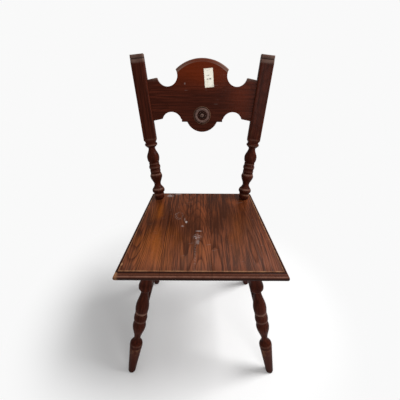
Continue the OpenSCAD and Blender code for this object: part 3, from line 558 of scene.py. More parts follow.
def crest_finish(name, seed):
    """Red-brown stain on the crest rail, with grain from side to side and light scuffs."""
    tones = bpy.context.scene.chair_finishes
    crest = bpy.context.scene.chair_crest
    graph = MaterialGraph(name)
    place = graph.own_place()
    x, depth_in, height = graph.split(place)
    grain = Grain(graph, place, "x", seed, 1.7)
    base = scaled(tones.stain_red, 1.25)
    wood = stained(graph, grain, scaled(tones.stain_red, 0.50), base, 0.45)
    cloud = graph.noise(graph.join(x * 9, depth_in * 9, height * 14), 1.0, 3.0, 0.6)
    warm = graph.spot(x, height, (0.0, 0.085), (0.10, 0.04), 0.8, (cloud - 0.5) * 1.2)
    warm = warm.most(graph.spot(x, height, (0.115, 0.0), (0.03, 0.05), 0.9, (cloud - 0.5)) * 0.5)
    wood = graph.mix(warm * 0.60, wood, tones.ember)
    dim = graph.spot(x, height, (0.01, -0.02), (0.12, 0.03), 0.8, (cloud - 0.5) * 1.4)
    dim = dim.most(graph.spot(x, height, (0.0, -0.075), (0.05, 0.03), 0.8, (cloud - 0.5)))
    wood = graph.mix(dim * 0.42, wood, scaled(tones.stain_red, 0.42))
    broken = graph.noise(graph.join(x * 85, depth_in * 85, height * 85), 1.0, 3.0, 0.6)
    worn = graph.rub().step(0.25, 0.9) * broken.step(0.40, 0.64)
    wood = graph.mix(worn * 0.42, wood, scaled(tones.bare_wood, 0.7))

    # Painted highlights on the arch's rounded edge, grey-brown and most towards its two ends, with
    # wear on its outer rim
    edge = crest.arch_radius
    reach = graph.distance(x, height - (crest.arch_rise - edge))
    arched = height.step(0.05, 0.07)
    outer = abs(x).step(0.012, 0.075)
    band = reach.step(edge - 0.0105, edge - 0.0085) * arched
    wood = graph.mix(band * (outer * 0.40 + 0.12), wood, tones.arch_highlight_band)
    line = reach.band(edge - 0.0115, edge - 0.0100, edge - 0.0088, edge - 0.0070)
    wood = graph.mix(line * arched * (outer * 0.3 + 0.1), wood, tones.arch_highlight_line)
    rim = reach.step(edge - 0.0024, edge - 0.0008) * arched
    wood = graph.mix(rim * broken.step(0.30, 0.55) * 0.45, wood, tones.arch_rim_wear_and_highlight)

    scuffs = (
        ((-0.053, 0.047), (0.0022, 0.0030), 1.0),
        ((-0.050, 0.028), (0.005, 0.0012), 0.4),
        ((0.043, -0.012), (0.006, 0.0012), 0.3),
    )
    scuff = graph.spots(x, height, scuffs, 0.6, (broken - 0.5) * 1.3)
    wood = graph.mix(scuff * 0.22, wood, tones.dust)
    scratches = graph.noise(graph.join(x * 34, depth_in, height * 300), 1.0, 1.0).step(0.74, 0.79)
    wood = graph.mix(scratches * 0.09, wood, tones.dust)
    relief = grain.open_pores * -0.6 + grain.ring * -0.15 + cloud * 0.2
    return graph.finish(
        {
            "Base Color": wood,
            "Roughness": (0.28 + cloud.step(0.3, 0.8) * 0.16 + scuff * 0.2).clamped(),
            "Specular IOR Level": 0.012,
            "Coat Weight": (0.026 - scuff * 0.02 - worn * 0.02).clamped(),
            "Coat Roughness": 0.16,
            "Normal": graph.bump(relief, 0.22, 0.0005),
        }
    )


def rosette_finish(name):
    """Stained rosette: painted darker in the cuts, and greyish painted highlights on the crowns."""
    tones = bpy.context.scene.chair_finishes
    graph = MaterialGraph(name)
    place = graph.own_place()
    x, y, z = graph.split(place)
    grain = Grain(graph, place, "x", 4.0, 0.8)
    wood = stained(graph, grain, scaled(tones.dark_stain_and_shade, 1.2), scaled(tones.stain_red, 0.8), 0.5)
    broken = graph.noise(place, 260.0, 3.0, 0.6)
    # Painted highlight on the raised petals and ring, and the cuts painted darker
    raised_highlight = z.step(0.0002, 0.0026)
    sunk = z.step(0.0000, -0.0012)
    darkening = scaled(tones.dark_stain_and_shade, 0.6)
    wood = graph.mix(sunk * 0.85, wood, darkening)
    wood = graph.mix(raised_highlight * (0.30 + broken.step(0.35, 0.7) * 0.45), wood, tones.petal_highlight)
    wood = graph.mix(graph.rub() * 0.25, wood, scaled(tones.bare_wood, 0.6))
    # The button in the middle has a painted highlight round a dark dimple, and is painted darker deep
    # behind it
    out = graph.distance(x, y)
    wood = graph.mix(out.band(0.0056, 0.0070, 0.0094, 0.0112) * 0.75, wood, darkening)
    wood = graph.mix(out.band(0.0016, 0.0028, 0.0052, 0.0066) * 0.65, wood, tones.button)
    wood = graph.mix(out.step(0.0026, 0.0014) * 0.85, wood, darkening)
    return graph.finish(
        {
            "Base Color": wood,
            "Roughness": (0.34 + broken * 0.2 + sunk * 0.2).clamped(),
            "Specular IOR Level": 0.05,
            "Coat Weight": (0.08 - sunk * 0.07).clamped(),
            "Coat Roughness": 0.25,
            "Normal": graph.bump(broken * 0.4 + grain.open_pores * -0.4, 0.2, 0.0004),
        }
    )


def frame_finish(name, along, seed, tone):
    """Dull stain without varnish on the battens, the wedges and the pegs."""
    tones = bpy.context.scene.chair_finishes
    graph = MaterialGraph(name)
    place = graph.chair_place()
    grain = Grain(graph, place, along, seed)
    base = scaled(tones.stain_seat, tone)
    wood = stained(graph, grain, scaled(tones.stain_seat, tone * 0.3), base)
    cloud = graph.noise(place, 14.0, 3.0, 0.6)
    wood = graph.mix(cloud.step(0.45, 0.75) * 0.35, wood, scaled(tones.bare_wood, 0.42))
    grime = graph.noise(place, 45.0, 4.0, 0.7).step(0.55, 0.75)
    wood = graph.mix(grime * 0.4, wood, tones.dark_stain_and_shade)
    return graph.finish(
        {
            "Base Color": wood,
            "Roughness": (0.62 + grime * 0.15).clamped(),
            "Specular IOR Level": 0.10,
            "Normal": graph.bump(grain.open_pores * -0.6 + cloud * 0.4, 0.35, 0.0008),
        }
    )


def paper_finish(name):
    """Cream paper, soiled at its edges, with a few faded dashes that are not letters."""
    tones = bpy.context.scene.chair_finishes
    crest = bpy.context.scene.chair_crest
    graph = MaterialGraph(name)
    place = graph.own_place()
    x, _, z = graph.split(place)
    fibre = graph.noise(graph.join(x * 900, 0.0, z * 700), 1.0, 3.0, 0.7)
    stain = graph.noise(place, 70.0, 3.0, 0.6)
    paper = graph.mix(stain.step(0.45, 0.8) * 0.5, tones.paper, tones.paper_stain)
    edge = (abs(x) / (crest.label_width / 2)).most(abs(z) / (crest.label_height / 2))
    paper = graph.mix(edge.step(0.84, 1.0) * 0.4, paper, tones.paper_edge)
    dashes = []
    # Height, half length, half thickness and middle of each dash
    for level, half, thick, middle in (
        (0.0215, 0.0040, 0.0009, -0.0008),
        (0.0075, 0.0055, 0.0011, -0.0020),
        (-0.0030, 0.0070, 0.0021, 0.0010),
    ):
        bar = abs(z - level - x * 0.08).step(thick * 1.3, thick * 0.7)
        reach = abs(x - middle).step(half * 1.1, half * 0.9)
        gaps = graph.noise(graph.join(x * 520, level * 900, 0.0), 1.0, 1.0).step(0.40, 0.50)
        dashes.append(bar * reach * gaps)
    ink = reduce(Value.most, dashes)
    paper = graph.mix(ink * (0.55 + fibre * 0.4), paper, tones.ink)
    crease = abs(z + x * 0.9 + 0.014).step(0.0006, 0.0)
    return graph.finish(
        {
            "Base Color": paper,
            "Roughness": (0.78 + fibre * 0.15).clamped(),
            "Specular IOR Level": 0.2,
            "Normal": graph.bump(fibre * 0.5 + crease * -1.0 + stain * 0.6, 0.25, 0.0002),
        }
    )


def steel_finish(name):
    """Aged steel with brown tarnish."""
    tones = bpy.context.scene.chair_finishes
    graph = MaterialGraph(name)
    place = graph.chair_place()
    tarnish = graph.noise(place, 420.0, 4.0, 0.7)
    metal = graph.mix(tarnish.step(0.4, 0.7), tones.steel, tones.tarnish)
    return graph.finish(
        {
            "Base Color": metal,
            "Metallic": (0.95 - tarnish.step(0.45, 0.75) * 0.6).clamped(),
            "Roughness": (0.38 + tarnish * 0.35).clamped(),
            "Normal": graph.bump(tarnish, 0.15, 0.0002),
        }
    )


def floor_finish(name):
    """Pale studio floor, which runs out to an even white far from the chair."""
    tones = bpy.context.scene.chair_finishes
    graph = MaterialGraph(name)
    x, y, _ = graph.split(graph.chair_place())
    graph.finish({"Base Color": tones.floor, "Roughness": 0.9, "Specular IOR Level": 0.1})
    far = graph.distance(x + 0.05, y - 0.07).step(0.34, 0.68)
    glow = graph.node("ShaderNodeEmission", {}, {0: tones.backdrop, 1: 1.0})
    shader = Value(graph, graph.shader.outputs[0])
    both = graph.mix_shaders(far * graph.ray("Is Camera Ray"), shader, glow)
    graph.put(graph.output.inputs[0], both)
    return graph.owner


# ---- Shapes ----

STRAIGHT, EASED, ROUND_OUT, ROUND_IN = range(4)
STRETCH_STEPS = {STRAIGHT: 1, EASED: 14, ROUND_OUT: 6, ROUND_IN: 6}


def side_slope(seat):
    return (seat.width_front - seat.width_rear) / 2 / (BACK_EDGE - FRONT_EDGE)


def turned_profile(stations):
    """Points of a turned profile: each station is a height, a radius and a kind of stretch."""
    points = []
    for (z0, r0, kind), (z1, r1, _) in zip(stations, stations[1:]):
        for k in range(STRETCH_STEPS[kind]):
            t = k / STRETCH_STEPS[kind]
            rise, run = 1 - math.cos(math.pi / 2 * t), math.sin(math.pi / 2 * t)
            radius_share, height_share = {
                STRAIGHT: (0, 0),
                EASED: ((1 - math.cos(math.pi * t)) / 2, t),
                ROUND_OUT: (run, rise),
                ROUND_IN: (rise, run),
            }[kind]
            points.append((r0 + (r1 - r0) * radius_share, z0 + (z1 - z0) * height_share))
    points.append((stations[-1][1], stations[-1][0]))
    return points


def both_ways(stations, middle):
    """Adds to half a turning's stations their mirror image beyond its middle."""
    turned_round = {ROUND_OUT: ROUND_IN, ROUND_IN: ROUND_OUT}
    kinds = [STRAIGHT] + [turned_round.get(kind, kind) for _, _, kind in stations[:-1]]
    image = [(2 * middle - z, radius, kind) for (z, radius, _), kind in zip(stations, kinds)]
    return stations + image[::-1]


def spin_profile(bm, points, segments=72):
    """Turns a profile of radii and heights about the Z axis and closes both its ends."""
    closed = [(0.0, points[0][1]), *points, (0.0, points[-1][1])]
    verts = [bm.verts.new((radius, 0, z)) for radius, z in closed]
    edges = [bm.edges.new(pair) for pair in zip(verts, verts[1:])]
    bmesh.ops.spin(
        bm,
        geom=verts + edges,
        cent=(0, 0, 0),
        axis=(0, 0, 1),
        dvec=(0, 0, 0),
        angle=math.tau,
        steps=segments,
        use_merge=True,
        use_normal_flip=False,
        use_duplicate=False,
    )
    bmesh.ops.remove_doubles(bm, verts=bm.verts, dist=1e-6)
    bmesh.ops.recalc_face_normals(bm, faces=bm.faces)


def keep_own_place(bm, offset=(0.0, 0.0, 0.0)):
    """Stores each point of a piece in its own frame, so that its grain stays with it."""
    layer = bm.verts.layers.float_vector.new("own_place")
    for vert in bm.verts:
        vert[layer] = vert.co + Vector(offset)


def measure_rub(bm, low=12.0, high=34.0):
    """Stores how sharply each point stands proud or lies in a hollow.

    A bend of low degrees counts as 0, and one of high degrees as 1.
    """
    bm.normal_update()
    rub = bm.verts.layers.float.new("rub")
    hollow = bm.verts.layers.float.new("hollow")
    for vert in bm.verts:
        bends = [e.calc_face_angle_signed(0.0) for e in vert.link_edges if e.is_manifold]
        proud = math.degrees(max(bends, default=0.0))
        sunk = -math.degrees(min(bends, default=0.0))
        vert[rub] = min(1.0, max(0.0, (proud - low) / (high - low)))
        vert[hollow] = min(1.0, max(0.0, (sunk - low) / (high - low)))


def cut_across(bm, point, direction, keep_beyond):
    """Cuts a piece on a plane, keeps one side of it and closes the cut."""
    bmesh.ops.bisect_plane(
        bm,
        geom=bm.verts[:] + bm.edges[:] + bm.faces[:],
        dist=1e-7,
        plane_co=point,
        plane_no=direction,
        clear_inner=keep_beyond,
        clear_outer=not keep_beyond,
    )
    close_rims(bm)


def cut_level(bm, height, keep_above):
    cut_across(bm, (0, 0, height), (0, 0, 1), keep_above)


def close_rims(bm):
    rims = [edge for edge in bm.edges if edge.is_boundary]
    if rims:
        bmesh.ops.holes_fill(bm, edges=rims, sides=0)


def next_ring(bm, edges):
    """Extrudes a ring of edges, and returns the new ring's points and edges."""
    grown = bmesh.ops.extrude_edge_only(bm, edges=edges)["geom"]
    points = [item for item in grown if isinstance(item, bmesh.types.BMVert)]
    fresh = set(points)
    rim = [
        item
        for item in grown
        if isinstance(item, bmesh.types.BMEdge) and fresh.issuperset(item.verts)
    ]
    return points, rim


def grow_column(bm, levels, outline, segments=96):
    """Extrudes a ring upwards through levels of (height, kind), each with its own outline."""
    turn = bm.verts.layers.float.new("turn")
    ring = bmesh.ops.create_circle(bm, cap_ends=False, radius=1.0, segments=segments)["verts"]
    for vert in ring:
        vert[turn] = math.atan2(vert.co.y, vert.co.x)
    edges = bm.edges[:]
    for number, (height, kind) in enumerate(levels):
        if number:
            ring, edges = next_ring(bm, edges)
        for vert in ring:
            angle = vert[turn]
            radius = outline(height, kind, angle)
            vert.co = (radius * math.cos(angle), radius * math.sin(angle), height)
    bm.verts.layers.float.remove(turn)
    close_rims(bm)
    bmesh.ops.recalc_face_normals(bm, faces=bm.faces)


def bevel_edges(bm, edges, offset, segments=2):
    bmesh.ops.bevel(
        bm,
        geom=edges,
        offset=offset,
        offset_type="OFFSET",
        affect="EDGES",
        segments=segments,
        profile=0.5,
        material=-1,
        clamp_overlap=True,
    )


def turning(stations, grain_offset, place):
    """Turns a profile, keeps the frame of its grain, and then puts it in its place."""
    bm = bmesh.new()
    spin_profile(bm, turned_profile(stations))
    keep_own_place(bm, grain_offset)
    measure_rub(bm)
    bmesh.ops.transform(bm, matrix=place, verts=bm.verts)
    return bm


def finished_piece(bm, name, material, nodes, smooth_angle=38.0):
    """Makes a bmesh a piece that rides on the chair and stands for its CAD nodes."""
    mesh = bpy.data.meshes.new(name)
    bm.to_mesh(mesh)
    bm.free()
    mesh.polygons.foreach_set("use_smooth", [True] * len(mesh.polygons))
    mesh.set_sharp_from_angle(angle=math.radians(smooth_angle))
    piece = bpy.data.objects.new(name, mesh)
    bpy.context.scene.collection.objects.link(piece)
    piece.data.materials.append(material)
    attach(piece, BODY)
    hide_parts(*nodes)


def mirrored(bm, side):
    """Mirrors a right-hand piece to the left when the side is negative."""
    if side < 0:
        bmesh.ops.scale(bm, vec=(-1, 1, 1), verts=bm.verts)
        bmesh.ops.reverse_faces(bm, faces=bm.faces)


def aimed(start, end):
    """Matrix that puts a piece at a point with its Z axis towards another."""
    turn = (Vector(end) - Vector(start)).to_track_quat("Z", "Y").to_matrix().to_4x4()
    return Matrix.Translation(start) @ turn


def back_matrix():
    """Frame of the back: X across, Z up along the rake, Y behind it."""
    post, seat = bpy.context.scene.chair_posts, bpy.context.scene.chair_seat
    foot = Matrix.Translation((0, BACK_EDGE - post.setback, seat.height))
    return foot @ Matrix.Rotation(-post.rake, 4, "X")


def rail_level():
    post = bpy.context.scene.chair_posts
    return post.reach - post.rail_drop


def crest_face():
    """Place of the crest rail's front face, in the frame of the back."""
    crest, post = bpy.context.scene.chair_crest, bpy.context.scene.chair_posts
    return -post.thickness / 2 + crest.recess


def on_crest(right, up):
    """Frame on the crest rail's front face, at a place from the rail's middle."""
    return back_matrix() @ Matrix.Translation((right, crest_face(), rail_level() + up))


def post_inner_face(height):
    """Distance from the middle to a post's inner face, at a height up the back."""
    post, seat = bpy.context.scene.chair_posts, bpy.context.scene.chair_seat
    foot = seat.width_rear / 2 - post.inset
    return foot + height * math.tan(post.lean) - post.width / 2 / math.cos(post.lean)


# ---- Pieces ----


class CHAIR_OT_seat(bpy.types.Operator):
    """Builds the three boards of the plank seat, with the moulding on their edges"""

    bl_idname = "chair.seat"
    bl_label = "Plank Seat"

    def execute(self, context):
        seat = context.scene.chair_seat
        boards = (
            ("seat_board_left", None, seat.joint_left, 0.8, "seat_wood_warm", 3.1),
            ("seat_board_centre", seat.joint_left, seat.joint_right, 0.15, "seat_wood", 7.7),
            ("seat_board_right", seat.joint_right, None, 0.35, "seat_wood", 12.3),
        )
        for node, low, high, warmth, slot, seed in boards:
            bm = bmesh.new()
            self.whole_seat(bm, seat)
            for limit, keep_beyond in ((low, True), (high, False)):
                if limit is None:
                    continue
                cut_across(bm, (limit, 0, 0), (1, 0, 0), keep_beyond)
                arris = [
                    edge
                    for edge in bm.edges
                    if all(abs(v.co.x - limit) < 1e-6 for v in edge.verts)
                    and all(v.co.z > seat.height - 1e-5 for v in edge.verts)
                ]
                bevel_edges(bm, arris, 0.0004)
            keep_own_place(bm)
            measure_rub(bm)
            material = seat_finish(slot + "_" + node[-4:], seed, warmth)
            finished_piece(bm, node + "_worn", material, [node], 30.0)
        return {"FINISHED"}

    def whole_seat(self, bm, seat):
        """Grows the seat from its underside up, ring by ring, along its moulded section."""
        slope = side_slope(seat)
        lean = math.hypot(1, slope)
        order = bm.verts.layers.int.new("corner")
        circle = bmesh.ops.create_circle(bm, cap_ends=False, radius=1.0, segments=4)
        ring = sorted(circle["verts"], key=lambda v: math.atan2(v.co.y, v.co.x))
        edges = bm.edges[:]
        for number, vert in enumerate(ring):
            vert[order] = number
        for number, (inset, z) in enumerate(self.section(seat)):
            low = min(1.0, z / seat.back_round, (seat.thickness - z) / seat.back_round)
            back = seat.back_round * (1 - math.sqrt(1 - (1 - low) ** 2))
            front_half = seat.width_front / 2 - inset * (slope + lean)
            depth = BACK_EDGE - FRONT_EDGE - back
            rear_half = seat.width_front / 2 - depth * slope - inset * lean
            y_front, y_back = FRONT_EDGE + inset, BACK_EDGE - back
            height = seat.height - seat.thickness + z
            corners = (
                (-front_half, y_front),
                (front_half, y_front),
                (rear_half, y_back),
                (-rear_half, y_back),
            )
            if number:
                ring, edges = next_ring(bm, edges)
            for vert in ring:
                vert.co = (*corners[vert[order]], height)
        bm.verts.layers.int.remove(order)
        close_rims(bm)
        bmesh.ops.recalc_face_normals(bm, faces=bm.faces)

    def section(self, seat):
        """Section of the moulded edge: distance in from the nose, and height."""
        fillet, step, ovolo, quirk, nose = 0.0005, 0.0018, 0.0048, 0.0008, 0.0042
        half = (seat.thickness - step - ovolo - quirk) / 2
        width = seat.moulding - nose + fillet
        points = []
        for k in range(17):
            angle = math.pi * k / 16
            points.append((nose * (1 - math.sin(angle)), half * (1 - math.cos(angle))))
        for k in range(9):
            angle = math.pi / 2 * (1 - k / 8)
            inset = seat.moulding - fillet - width * math.sin(angle)
            points.append((inset, seat.thickness - step - ovolo * (1 - math.cos(angle))))
        soft = 0.0006
        points += [
            (seat.moulding, seat.thickness - step),
            (seat.moulding, seat.thickness - soft),
            (seat.moulding + soft * 0.3, seat.thickness - soft * 0.3),
            (seat.moulding + soft, seat.thickness),
        ]
        return points


def leg_stations(leg, rise, underside):
    """Turned stations of a leg, spaced between the foot, the stretcher and the batten."""
    grip = leg.stretcher_height * rise / underside
    foot, ring, swell = 0.005, grip - LEG_RING_DROP, grip + 0.016
    radius, neck = leg.radius, leg.radius * 0.49

    def below(share):
        return foot + share * (ring - foot)

    def above(share):
        return swell + share * (rise - swell)

    return [
        (-0.006, leg.foot_radius - 0.002, STRAIGHT),
        (0.001, leg.foot_radius - 0.0016, ROUND_OUT),
        (foot, leg.foot_radius, STRAIGHT),
        (below(0.512), radius - 0.0006, STRAIGHT),
        (below(0.515), radius - 0.0013, STRAIGHT),
        (below(0.520), radius - 0.0013, STRAIGHT),
        (below(0.523), radius - 0.0003, ROUND_OUT),
        (below(0.55), radius, STRAIGHT),
        (below(0.563), radius - 0.0002, EASED),
        (below(0.677), neck, EASED),
        (below(0.926), radius - 0.0002, EASED),
        (ring, radius - 0.0023, STRAIGHT),
        (ring + 0.002, radius - 0.0032, STRAIGHT),
        (ring + 0.0035, radius - 0.0024, ROUND_OUT),
        (grip - 0.025, radius - 0.0003, EASED),
        (grip - 0.0080, radius - 0.0017, STRAIGHT),
        (grip - 0.0075, radius - 0.0027, STRAIGHT),
        (grip - 0.0055, radius - 0.0027, STRAIGHT),
        (grip - 0.0050, radius - 0.0018, EASED),
        (swell, radius - 0.0004, EASED),
        (above(0.408), neck + 0.0008, EASED),
        (above(0.501), radius - 0.0006, EASED),
        (above(0.541), radius - 0.0002, EASED),
        (above(0.675), radius - 0.003, STRAIGHT),
        (above(1.1), radius - 0.0015, STRAIGHT),
    ]


def leg_ends(front):
    """Top and foot of a right-hand leg's centre line."""
    leg, seat = bpy.context.scene.chair_legs, bpy.context.scene.chair_seat
    top_z = seat.height - seat.thickness
    if front:
        top = (seat.width_front / 2 - leg.front_inset, FRONT_EDGE + leg.front_setback, top_z)
        foot = (seat.width_front / 2 + leg.front_outset, FRONT_EDGE + leg.front_foot_setback, 0)
    else:
        top = (seat.width_rear / 2 - leg.rear_inset, BACK_EDGE - leg.rear_setback, top_z)
        foot = (seat.width_rear / 2 + leg.rear_outset, BACK_EDGE + leg.rear_foot_reach, 0)
    return Vector(top), Vector(foot)


class CHAIR_OT_legs(bpy.types.Operator):
    """Turns the four splayed legs and cuts them level at the floor and at the battens"""

    bl_idname = "chair.legs"
    bl_label = "Turned Legs"

    def execute(self, context):
        leg, seat = context.scene.chair_legs, context.scene.chair_seat
        underside = seat.height - seat.thickness
        front_top, front_foot = leg_ends(True)
        rise = (front_top - front_foot).length
        stations = leg_stations(leg, rise, underside)
        ring = leg.stretcher_height * rise / underside - LEG_RING_DROP
        # Heights of the painted highlight rings on a leg
        highlight_rings = (
            (ring * 0.585, 0.0040, 0.24),
            (ring + 0.0095, 0.0040, 0.26),
            (ring + 0.0410, 0.0060, 0.50),
        )
        material = turned_finish("turned_leg_stain", 2.0, highlight_rings=highlight_rings, foot=ring * 0.62)
        legs = (
            ("leg_front_left", True, -1),
            ("leg_front_right", True, 1),
            ("leg_rear_left", False, -1),
            ("leg_rear_right", False, 1),
        )
        for number, (node, front, side) in enumerate(legs):
            top, foot = leg_ends(front)
            bm = turning(stations, (0.31 * number, 0.17 * number, 0), aimed(foot, top))
            cut_level(bm, 0, True)
            cut_level(bm, BATTEN_LOW, False)
            mirrored(bm, side)
            finished_piece(bm, node + "_turned", material, [node])
        return {"FINISHED"}


class CHAIR_OT_stretchers(bpy.types.Operator):
    """Turns the two side stretchers and the cross stretcher between them"""

    bl_idname = "chair.stretchers"
    bl_label = "Stretchers"

    def execute(self, context):
        leg = context.scene.chair_legs
        material = turned_finish("turned_stretcher_stain", 9.0)
        ends = []
        for front in (True, False):
            top, foot = leg_ends(front)
            ends.append(foot + (top - foot) * (leg.stretcher_height / top.z))
        run = (ends[1] - ends[0]).length
        grip = leg.radius - 0.005
        stations = self.side_stations(leg, run, grip)
        for side, node in ((-1, "side_stretcher_left"), (1, "side_stretcher_right")):
            bm = turning(stations, (0.23 * side, 0.4, 0), aimed(*ends))
            mirrored(bm, side)
            finished_piece(bm, node + "_turned", material, [node])
        middle = (ends[0] + ends[1]) / 2
        place = Matrix.Translation((0, middle.y, middle.z)) @ Matrix.Rotation(math.pi / 2, 4, "Y")
        bm = turning(self.cross_stations(leg, middle.x), (0.6, 0.1, 0), place)
        finished_piece(bm, "cross_stretcher_turned", material, ["cross_stretcher"])
        return {"FINISHED"}

    def side_stations(self, leg, run, grip):
        swell, half = leg.swell_radius, run / 2
        shoulder, tenon = grip + 0.003, leg.tenon_radius - 0.0002
        front_half = [
            (grip - leg.tenon_length, tenon, STRAIGHT),
            (shoulder, tenon, STRAIGHT),
            (shoulder, leg.stretcher_radius, STRAIGHT),
            (0.030, leg.stretcher_radius, EASED),
            (half - 0.026, swell - 0.002, STRAIGHT),
            (half - 0.025, swell - 0.003, STRAIGHT),
            (half - 0.024, swell - 0.002, ROUND_OUT),
            (half - 0.014, swell, STRAIGHT),
        ]
        return both_ways(front_half, half)

    def cross_stations(self, leg, half):
        reach = half - (leg.swell_radius - 0.005) + leg.tenon_length
        straight = leg.tenon_length + 0.022
        radius, thin = leg.cross_radius, leg.tenon_radius
        left_half = [
            (-reach, thin, STRAIGHT),
            (straight - reach, thin, EASED),
            (-0.016, radius - 0.001, STRAIGHT),
            (-0.015, radius - 0.002, STRAIGHT),
            (-0.014, radius - 0.001, ROUND_OUT),
            (-0.008, radius, STRAIGHT),
        ]
        return both_ways(left_half, 0.0)


class CHAIR_OT_posts(bpy.types.Operator):
    """Builds the raked posts: turned below, flat with a rolled top above"""

    bl_idname = "chair.posts"
    bl_label = "Posts"

    def execute(self, context):
        post, seat = context.scene.chair_posts, context.scene.chair_seat
        disc = rail_level() - post.rail_clear
        # Heights of the painted highlight rings on a post
        highlight_rings = (
            (0.0172, 0.0024, 0.40),
            (POST_BASE + 0.0062, 0.0036, 0.50),
            (self.up(disc, 0.366), 0.0036, 0.64),
            (self.up(disc, 0.434), 0.0026, 0.20),
            (self.up(disc, 0.524), 0.0034, 0.28),
            (self.up(disc, 0.598), 0.0028, 0.24),
            (disc - 0.001, 0.0030, 0.34),
            (disc + 0.017, 0.0040, 0.16),
        )
        material = turned_finish("turned_post_stain", 5.0, crown=post.reach, highlight_rings=highlight_rings)
        profile = turned_profile(self.stations(disc))
        flat = disc + 0.005
        tenon_end = -(seat.height - BATTEN_LOW) * 1.08
        place = back_matrix() @ Matrix.Translation((seat.width_rear / 2 - post.inset, 0, 0))
        place = place @ Matrix.Rotation(post.lean, 4, "Y")
        for side, node in ((-1, "post_left"), (1, "post_right")):
            bm = bmesh.new()
            levels = [(tenon_end, "tenon"), (-0.004, "tenon")]
            levels += [(z, radius) for radius, z in profile]
            # Rings lie close together where the round turns into the flat
            levels += [(flat, "flat")]
            levels += [(flat + 0.024 * (k / 14) ** 1.3, "flat") for k in range(1, 15)]
            levels += [(z, "flat") for z in self.roll_levels(post, flat + 0.04)]
            levels += [(post.reach, "crown")]
            grow_column(bm, levels, self.outline(post, flat))
            keep_own_place(bm, (0.5 * side, 0, 0))
            measure_rub(bm, 14.0, 44.0)
            bmesh.ops.transform(bm, matrix=place, verts=bm.verts)
            cut_level(bm, BATTEN_LOW, True)
            mirrored(bm, side)
            finished_piece(bm, node + "_shaped", material, [node])
        return {"FINISHED"}

    def up(self, disc, share):
        """Height between the lowest ring and the disc under the flat part."""
        return POST_BASE + share * (disc - POST_BASE)

    def stations(self, disc):
        lower = [
            (0.0, 0.0125, ROUND_OUT),
            (0.010, 0.0166, STRAIGHT),
            (0.0163, 0.0170, STRAIGHT),
            (0.0173, 0.0156, STRAIGHT),
            (0.0183, 0.0170, STRAIGHT),
            (0.023, 0.0166, ROUND_OUT),
            (POST_BASE, 0.0212, EASED),
        ]
        vase_and_beads = [
            (0.133, 0.0111, EASED),
            (0.323, 0.0202, EASED),
            (0.380, 0.0180, STRAIGHT),
            (0.389, 0.0156, ROUND_OUT),
            (0.434, 0.0174, ROUND_IN),
            (0.478, 0.0156, ROUND_OUT),
            (0.522, 0.0189, ROUND_IN),
            (0.566, 0.0158, ROUND_OUT),
            (0.595, 0.0170, ROUND_IN),
            (0.627, 0.0150, ROUND_OUT),
            (0.734, 0.0203, EASED),
            (0.924, 0.0110, EASED),
            (0.975, 0.0175, ROUND_OUT),
        ]
        middle = [(self.up(disc, share), radius, kind) for share, radius, kind in vase_and_beads]
        return lower + middle + [(disc, 0.0204, ROUND_IN), (disc + 0.005, 0.0170, STRAIGHT)]

    def roll_levels(self, post, start):
        """Heights of the rings over the flat part, close together round the roll."""
        slope = post.reach - POST_SLOPE_DROP
        low, top = slope + 0.013, post.reach - 0.0015
        levels = [start + (slope - start) * k / 10 for k in range(11)]
        levels += [slope + 0.013 * k / 8 for k in range(1, 9)]
        for k in range(1, 15):
            levels.append(low + (top - low) * (1 - math.cos(math.pi * k / 14)) / 2)
        return levels

    def face(self, post, z):
        """Where the front of the flat part lies at a height: straight, sloped, then rolled."""
        front = -post.thickness / 2
        slope_radius, roll, groove = 0.030, 0.0065, 0.0016
        start, end = post.reach - POST_SLOPE_DROP, post.reach - 2 * roll + 0.003
        bend = math.asin((end - start) / slope_radius)
        middle = front + slope_radius * (1 - math.cos(bend)) + roll - groove
        reach = roll * roll - (z - post.reach + roll) ** 2
        rolled = middle - math.sqrt(max(0.0, reach)) if z > post.reach - 2 * roll else 1.0
        if z <= start:
            sloped = front
        elif z <= end:
            sloped = front + slope_radius * (1 - math.cos(math.asin((z - start) / slope_radius)))
        else:
            sloped = middle
        return min(sloped, rolled), middle

    def outline(self, post, flat):
        """Radius of a ring by its height, the angle and its kind, or its own turned radius."""
        turned, square, blend = 0.017, 0.028, 0.020

        def radius(height, kind, angle):
            if kind == "tenon":
                return post.tenon_radius
            if kind not in ("flat", "crown"):
                return kind
            front, middle = self.face(post, height)
            back = post.thickness / 2
            if kind == "crown":
                front, back = middle - 0.0012, middle + 0.0012
            share = min(1.0, (height - flat) / blend)
            limit = turned + (square - turned) * (1 - math.cos(math.pi * share)) / 2
            box = self.box_radius(angle, post.width / 2, front, back, post.corner)
            return box if share >= 1 else min(limit, box)

        return radius

    def box_radius(self, angle, half, front, back, corner):
        """Distance from the axis to a rounded rectangle, found by halving."""
        middle = (front + back) / 2
        deep = (back - front) / 2
        corner = min(corner, deep * 0.98)
        cosine, sine = math.cos(angle), math.sin(angle)
        low, high = 0.0, 0.05
        for _ in range(26):
            guess = (low + high) / 2
            out_x = abs(guess * cosine) - half + corner
            out_y = abs(guess * sine - middle) - deep + corner
            gap = math.hypot(max(out_x, 0), max(out_y, 0)) + min(max(out_x, out_y), 0) - corner
            low, high = (low, guess) if gap > 0 else (guess, high)
        return low


